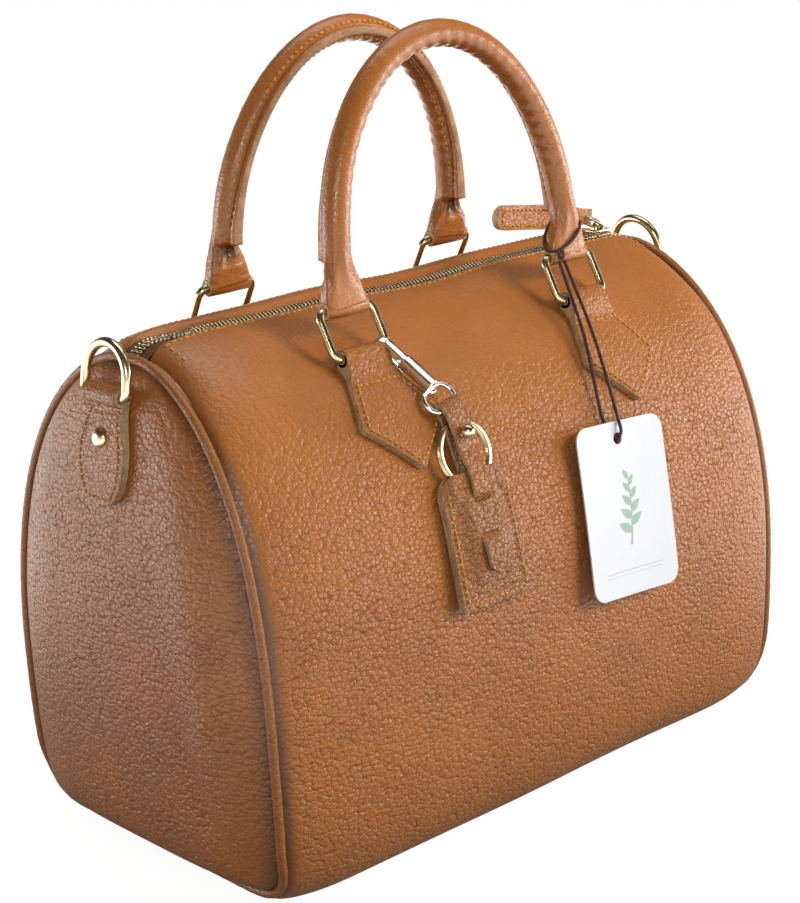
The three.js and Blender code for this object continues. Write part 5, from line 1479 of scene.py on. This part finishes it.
def make_fob_stitches():
    along = np.linspace(35, FOB_SEAM_END, 50)
    across = tag_half(along) - 2.6
    low = joined(80.8, np.linspace(-1, 1, 22) * across[-1])
    path = np.concatenate([joined(along, -across), low[1:-1], joined(along, across)[::-1]])
    level = tag_lift(*path.T, UNDER, PANEL - UNDER) + 1.05
    sew("fob_stitches", [on_fob(*path.T, level)], STITCH, "fob")


def make_fob_stud():
    low = on_fob(STUD_PLACE, 0, BACK - 1.9)
    top = on_fob(STUD_PLACE, 0, FACE + 0.8)
    up = unit(top - low)
    height = float(np.linalg.norm(top - low))
    ball = arc_points(0, height + 2.5, STUD_BALL, -50, 90, 11)[:-1]
    profile = [(0.02, 0), (2.7, 0), (2.7, 0.5), (1.5, 0.6), (1.5, height), (2.4, height + 0.1), *ball,
               (0.02, height + 2.5 + STUD_BALL)]
    side = unit(np.cross(up, X_AXIS))
    rings = stand(lathe(profile), low, np.cross(side, up), side, up)
    make_metal("stud_ball", skin(rings), gold, "fob", ["fob_stud"])


def make_key_ring():
    """A split ring: two turns of flat wire that lie on each other."""
    share = np.linspace(0, 1, 190)
    turn = 4 * np.pi * share
    radius = KEY_RING_RADIUS + 0.05 * np.sin(turn)
    climb = 0.42 * (2 * smooth(0.42, 0.58, share) - 1)
    turn = turn + np.pi / 2
    flat = joined(radius * np.cos(turn), radius * np.sin(turn), climb)
    path = KEY_RING_AT + flat @ np.stack([X_AXIS, np.cross(KEY_RING_AXIS, X_AXIS), KEY_RING_AXIS])
    rings = planar_tube(path, KEY_RING_AXIS, 1.3, 0.4, 12, False, 3.5)
    make_metal("split_ring", skin(rings), gold, "key_ring", ["key_ring"])


# Hang tag

KNOT = np.array([59.7966, -47.4412, 249.0758]) + (-1.0, -0.8, -3.5)
KNOT_SIZE, KNOT_DEPTH = 0.62, 1.1
CORD_RADIUS, CORD_BOW = 0.8, 2.5
CORD_LOOP_BEHIND, CORD_LOOP_FRONT, CORD_LOOP_OUT = 17.0, 2.6, 1.1  # up the handle, and out from it
CARD_TOP = np.array([52.5, -86.4374, 172.8929])
CARD_UP = unit([0.0593, 0.1942, 0.9792])
CARD_ACROSS = unit([0.9982, -0.0115, -0.0582])
CARD_OUT = np.cross(CARD_ACROSS, CARD_UP)
CARD_HALF, CARD_LENGTH, CARD_CORNER, CARD_HALF_THICK = 29, 81, 7, 0.4
CARD_HOLE, CARD_HOLE_DROP, CARD_HOLE_RADIUS = -1, 8, 2.8
INK_LIFT = 0.46
STEM_LOW, STEM_HIGH = 58.0, 26.0  # drops below the card's top edge
RULES = ((69.0, 69.5), (71.0, 71.3))
RULE_HALF = 19


def on_card(across, drop, out):
    across, drop, out = (v[..., None] for v in spread(across, drop, out))
    return CARD_TOP + across * CARD_ACROSS - drop * CARD_UP + out * CARD_OUT


def on_bowed_card(flat, lift):
    """Points of the card, which is slightly bowed both ways, from places across and down it."""
    across, drop = flat[..., 0], flat[..., 1]
    bow = 0.9 * ((across / CARD_HALF) ** 2) + 0.5 * np.sin(drop / CARD_LENGTH * np.pi)
    return on_card(across, drop, bow + lift)


def through(points, steps):
    """A smooth curve through points, with steps between each two."""
    p = [2 * points[0] - points[1], *points, 2 * points[-1] - points[-2]]
    made = []
    for p0, p1, p2, p3 in zip(p, p[1:], p[2:], p[3:]):
        t0 = 0.0
        t1 = t0 + math.sqrt(np.linalg.norm(p1 - p0))
        t2 = t1 + math.sqrt(np.linalg.norm(p2 - p1))
        t3 = t2 + math.sqrt(np.linalg.norm(p3 - p2))
        for t in np.linspace(t1, t2, steps, endpoint=False):
            a1 = mix(p0, p1, (t - t0) / (t1 - t0))
            a2 = mix(p1, p2, (t - t1) / (t2 - t1))
            a3 = mix(p2, p3, (t - t2) / (t3 - t2))
            b1 = mix(a1, a2, (t - t0) / (t2 - t0))
            b2 = mix(a2, a3, (t - t1) / (t3 - t1))
            made.append(mix(b1, b2, (t - t1) / (t2 - t1)))
    made.append(points[-1])
    return np.array(made)


def make_cord():
    """The doubled cord, and its start and length in metres."""
    hole, drop, stand_off, edge = CARD_HOLE, CARD_HOLE_DROP, 2.6, 1.5
    front_edge = on_card(hole + 1.2, 0, edge)
    back_edge = on_card(hole - 4.4, -2, -stand_off)
    points = [KNOT + (1.5, -0.6, -3), (KNOT + front_edge) / 2 + (0.5, -CORD_BOW, 0), front_edge,
              on_card(hole + 0.7, drop - 3, stand_off), on_card(hole, drop + 0.8, 0),
              on_card(hole - 1.6, drop - 3, -stand_off), on_card(hole - 4.2, -2, -stand_off - 0.6),
              (KNOT + back_edge) / 2 + (-1.0, -CORD_BOW, 0), KNOT + (-1.4, 0, -3)]
    path = through(points, 7) * MM
    curve = bpy.data.curves.new("hang_cord", "CURVE")
    curve.dimensions = "3D"
    curve.bevel_depth = CORD_RADIUS * MM
    curve.bevel_resolution = 3
    curve.use_fill_caps = True
    spline = curve.splines.new("POLY")
    spline.points.add(len(path) - 1)
    spline.points.foreach_set("co", joined(*path.T, 1).reshape(-1))
    curve.materials.append(cord_thread)
    cord = bpy.data.objects.new("hang_cord", curve)
    place_piece(cord, "hang_tag", ["tag_cord"])
    return cord, path[0].tolist(), float(length_along(path)[-1])


def make_cord_loop():
    """The loop round the handle, which lies higher behind it and droops to the knot in front."""
    turn = full_turn(90)
    up = leaning_up(FRONT, HANDLE_LEAN)
    normal = np.cross(X_AXIS, up)
    aim = math.atan2(KNOT[1] - RING_UPPER[1], KNOT[0] - SPAN / 2)
    near = (1 + np.cos(np.arctan2(normal[1] * np.sin(turn), np.cos(turn)) - aim)) / 2
    rise = mix(CORD_LOOP_BEHIND, CORD_LOOP_FRONT, near ** 1.3)
    wide, deep = handle_size(rise - 1)
    flat = joined((wide + CORD_LOOP_OUT) * np.cos(turn), rise, (deep + CORD_LOOP_OUT) * np.sin(turn))
    path = RING_UPPER + SPAN / 2 * X_AXIS + flat @ np.stack([X_AXIS, up, normal])
    points, faces = tube(path, CORD_RADIUS, 10, True)
    make_piece("cord_loop", points, faces, cord_thread, "front_handle", "cord", ["tag_cord_loop"])


def make_knot():
    """A small trefoil of the same cord."""
    t = full_turn(120)
    up = leaning_up(FRONT, HANDLE_LEAN)
    knot = joined(np.sin(t) + 2 * np.sin(2 * t), np.cos(t) - 2 * np.cos(2 * t), -KNOT_DEPTH * np.sin(3 * t))
    path = KNOT + KNOT_SIZE * knot @ np.stack([X_AXIS, up, np.cross(X_AXIS, up)])
    points, faces = tube(path, CORD_RADIUS, 10, True)
    return make_piece("cord_knot", points, faces, cord_thread, "hang_tag", "cord", ["tag_knot"])


def make_knot_and_loop():
    """Makes both and returns the knot, because only the knot rides with the cord."""
    make_cord_loop()
    return make_knot()


def make_card():
    """A card with round corners and a hole, in rings from the hole out to the edge."""
    side, foot, corner = CARD_HALF - CARD_CORNER, CARD_LENGTH - CARD_CORNER, CARD_CORNER
    middles = ((side, foot, 0), (-side, foot, 90), (-side, corner, 180), (side, corner, 270))
    outer = np.concatenate([arc_points(x, y, corner, start, start + 90, 9) for x, y, start in middles])
    outer = resample(outer, 160, True)
    hole = np.array([CARD_HOLE, CARD_HOLE_DROP])
    angle = np.arctan2(*(outer - hole).T[::-1])
    rim = hole + CARD_HOLE_RADIUS * joined(np.cos(angle), np.sin(angle))
    shares = np.array([0, 0.02, 0.06, 0.15, 0.3, 0.5, 0.7, 0.85, 0.97, 1])
    flat = mix(rim, outer, shares[:, None, None])
    sheets = [on_bowed_card(flat, lift).reshape(-1, 3) for lift in (CARD_HALF_THICK, -CARD_HALF_THICK)]
    rows, columns = flat.shape[:2]
    size = rows * columns
    faces = [grid_faces(rows, columns, False, True, start) for start in (0, size)]
    for row in (0, rows - 1):
        i = row * columns + np.arange(columns)
        j = np.roll(i, -1)
        faces.append(np.stack([i, j, j + size, i + size], 1))
    make_piece("card_sheet", np.concatenate(sheets), np.concatenate(faces), card_paper, "hang_tag", "card",
               ["hang_tag_card"], sharp=True)


def printed(near, far):
    """A strip of ink on the card between two lines."""
    return on_bowed_card(np.stack([near, far], 1), INK_LIFT), grid_faces(len(near), 2)


def printed_leaf(root, lean, size):
    s = np.linspace(0, 1, 12)
    bend = lean + 0.25 * lean * s
    middle = root + joined(np.sin(bend) * s * size, -np.cos(bend) * s * size)
    side = joined(math.cos(lean), math.sin(lean)) * (0.24 * size * np.sin(np.pi * s ** 0.8))[:, None]
    return printed(middle - side, middle + side)


def make_card_print():
    """A plain leafy sprig, and two thin rules under it."""
    t = np.linspace(0, 1, 24)
    stem = joined(2.5 * np.sin(t * 2.2), mix(STEM_LOW, STEM_HIGH, t))
    width = joined(mix(0.55, 0.25, t), 0)
    sprig = [printed(stem - width, stem + width)]
    for i, share in enumerate(np.linspace(0.18, 0.95, 9)):
        root = np.array([np.interp(share, t, part) for part in stem.T])
        lean = math.radians(52 - 30 * share) * (1 if i % 2 else -1)
        sprig.append(printed_leaf(root, lean, mix(10.5, 5.5, share)))
    make_piece("card_sprig", *merged(*sprig), ink_green, "hang_tag", "card")
    x = np.linspace(-RULE_HALF, RULE_HALF, 24)
    rules = [printed(joined(x, top), joined(x, foot)) for top, foot in RULES]
    make_piece("card_rule", *merged(*rules), ink_grey, "hang_tag", "card")


# Inner pieces

LINING_DEPTH, LINING_SHORT, LINING_TOP, LINING_INSET = 5.2, 4, 9, 5
POCKET_HALF, POCKET_TOP, POCKET_FOOT, POCKET_SLACK = 75, 66, 158, 1.6


def make_lining():
    """Thin cloth inside the leather, open below the zip."""
    share = np.linspace(-1, 1, 49)
    rows = []
    for side, arc in round_girth(np.linspace(LINING_TOP, HALF_GIRTH, 56)):
        _, z, _, _ = outline(arc)
        x = share * (seam_x(z + BULGE) - LINING_SHORT)
        rows.append(surface(side, x, arc, 0.4 * ripple(2.6 * x, 2.6 * arc, 6) - LINING_DEPTH))
    cloth = make_cloth("lining_cloth", np.array(rows), "lining_panel")


def make_lining_end(name, side):
    f, depth, height = end_grid(np.linspace(HALF_GIRTH - BASE_FLAT, LINING_TOP, 40), 31, LINING_INSET)
    out = seam_x(height) - LINING_SHORT + 0.4 * dome(f, height) + 0.5 * ripple(2 * depth, 2 * height, 8)
    outer = joined(side * out, depth, height)
    points, faces, _ = slab(outer, outer - side * CLOTH * X_AXIS)
    cloth = make_piece(name + "_lining_end", points, faces, lining_cloth, "bag", "lining_cloth",
                       [f"lining_{name}_end"])


def on_pocket(x, arc, lift):
    """A point of the pocket, which is loose at its top edge. lift is above the lining, into the bag."""
    down = (POCKET_FOOT - arc) / (POCKET_FOOT - POCKET_TOP)
    loose = (1 - (x / POCKET_HALF) ** 4) * np.sin(down * np.pi / 2)
    return surface(REAR, x, arc, -LINING_DEPTH - lift - POCKET_SLACK * loose)


def make_pocket():
    """A slip pocket on the rear wall of the lining."""
    x, arc = np.meshgrid(np.linspace(-POCKET_HALF, POCKET_HALF, 41), np.linspace(POCKET_TOP, POCKET_FOOT, 31))
    cloth = make_cloth("pocket_cloth", on_pocket(x, arc, 1.5), "slip_pocket")
    hem = joined(np.linspace(2 - POCKET_HALF, POCKET_HALF - 2, 60), POCKET_TOP + 3)
    down = np.linspace(POCKET_TOP + 3, POCKET_FOOT - 2, 40)
    rows = [hem, *(joined(end * (POCKET_HALF - 1.5), down) for end in (LEFT, RIGHT))]
    seam = sew("pocket_stitches", [on_pocket(*row.T, 2.5) for row in rows], STITCH, "bag")


def dress_board():
    """The stiff board in the base keeps its shape."""
    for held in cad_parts["base_board"].material_slots:
        held.material = board_paper


# Stage and light, in metres and watts

FLOOR_HALF, FLOOR_LEVEL = 6, -0.0004
FLOOR_GREY, FLOOR_SEEN = 0.25, 0.92
SWEEP_RUN, SWEEP_LIGHT = (0.28, 0.5), (0.1, 2.0)
ROOM_LIGHT = 0.2
LAMP_AIM = (0, 0, 0.13)
# Each lamp's name, place, size, power, and whether it shows in reflections
LAMPS = (
    ("key", (1.05, -1.4, 1.05), (0.75, 0.6), 25.5, False),
    ("top", (0.3, 0.2, 1.5), (1.1, 0.8), 6, True),
    ("left_rear", (-1.2, 1.2, 0.3), (0.9, 0.4), 8, True),
    ("right_front", (1.35, -0.8, 0.3), (0.9, 0.45), 9, True),
    ("near_camera", (-0.95, -1.05, 0.75), (0.32, 0.32), 4.5, True),
    ("glint", (0.78, -0.59, 1.36), (0.4, 0.4), 1.2, True),
)


def make_stage():
    finish = Finish("pale_floor")
    path, clear = finish.background_rays()
    # In reflections the floor is white from a short way off, as a lit sweep is.
    far = finish.vector_math("LENGTH", finish.place, output="Value")
    sweep = finish.ranged(far, *SWEEP_RUN, *SWEEP_LIGHT)
    glance = finish.times(path.outputs["Is Glossy Ray"], sweep)
    finish.look(Base_Color=(FLOOR_GREY,) * 3, Roughness=0.7, Emission_Color=(1, 1, 1),
                Emission_Strength=finish.total(finish.times(clear, FLOOR_SEEN), glance))
    mesh = bpy.data.meshes.new("floor")
    corners = rectangle(-FLOOR_HALF, FLOOR_HALF, -FLOOR_HALF, FLOOR_HALF)
    mesh.from_pydata([(x, y, FLOOR_LEVEL) for x, y in corners], [], [(0, 1, 2, 3)])
    mesh.materials.append(finish.material)
    floor = bpy.data.objects.new("floor", mesh)
    bpy.context.scene.collection.objects.link(floor)


def make_room():
    """A white room that is dark overhead in reflections."""
    world = bpy.data.worlds.new("studio")
    world.use_nodes = True
    nodes = Nodes(world.node_tree)
    path, clear = nodes.background_rays()
    direction = nodes.add("ShaderNodeSeparateXYZ")
    nodes.feed(direction.inputs[0], nodes.add("ShaderNodeTexCoord").outputs["Generated"])
    mirrored_room = nodes.ranged(direction.outputs["Z"], 0.05, 0.45, 0.8, 0.06)
    room = nodes.add("ShaderNodeMix")
    nodes.fill(room, {"Factor": path.outputs["Is Glossy Ray"], "A": ROOM_LIGHT, "B": mirrored_room})
    strength = nodes.math("MAXIMUM", clear, room.outputs["Result"])
    nodes.fill(world.node_tree.nodes["Background"], {"Color": (1, 1, 1), "Strength": strength})
    bpy.context.scene.world = world


def add_lamp(name, place, size, power, shows):
    data = bpy.data.lights.new(name, "AREA")
    data.shape = "RECTANGLE"
    data.size, data.size_y = size
    data.energy = power
    lamp = bpy.data.objects.new(name, data)
    lamp.location = place
    lamp.rotation_mode = "QUATERNION"
    lamp.rotation_quaternion = (Vector(LAMP_AIM) - Vector(place)).to_track_quat("-Z", "Y")
    lamp.visible_glossy = shows
    lamp.visible_camera = False
    bpy.context.scene.collection.objects.link(lamp)


# The bag, piece by piece

make_camera()
stitch = make_stitch(thread)
tooth = make_tooth("leaning_tooth", TOOTH_LEAN)
flat_tooth = make_tooth("flat_tooth", 0)
cord, cord_exit, cord_length = make_cord()
make_knot_and_loop()
make_card()
make_card_print()
make_body()
for make_end in (make_gusset, make_piping):
    for name, side in ENDS:
        make_end(name, side)
for row, side in WALLS:
    for end, x in (("left", -SPAN / 2), ("right", SPAN / 2)):
        make_tab(f"{row}_{end}_tab", side, x)
        make_tab_stitches(f"{row}_{end}_tab", side, x)
        make_ring(row, end, side, x)
    for make_handle_part in (make_handle, make_flange, make_core):
        make_handle_part(f"{row}_handle", side)
for name, side in ENDS:
    for make_strap_part in (make_strap_tab, make_strap_stitches, make_d_ring, make_tab_rivet):
        make_strap_part(name, side)
for name, side in WALLS:
    for make_zip_part in (make_tape, make_teeth, make_zip_stitches):
        make_zip_part(name, side)
for name, side in ENDS:
    for make_zip_end_part in (make_tape_end, make_end_teeth, make_stop_bar):
        make_zip_end_part(name, side)
make_slider()
make_pull_ring()
make_pull()
make_pull_stitches()
make_hook()
make_gate()
make_eye()
make_fob_strap()
make_fob_front()
make_fob_stitches()
make_fob_stud()
make_key_ring()
make_lining()
for name, side in ENDS:
    make_lining_end(name, side)
make_pocket()
dress_board()
for template in (stitch, tooth, flat_tooth):
    bpy.data.objects.remove(template)
bpy.data.node_groups.remove(REPEAT_TREE)
make_stage()
make_room()
for lamp in LAMPS:
    add_lamp(*lamp)
bpy.context.scene.view_settings.view_transform = "Standard"
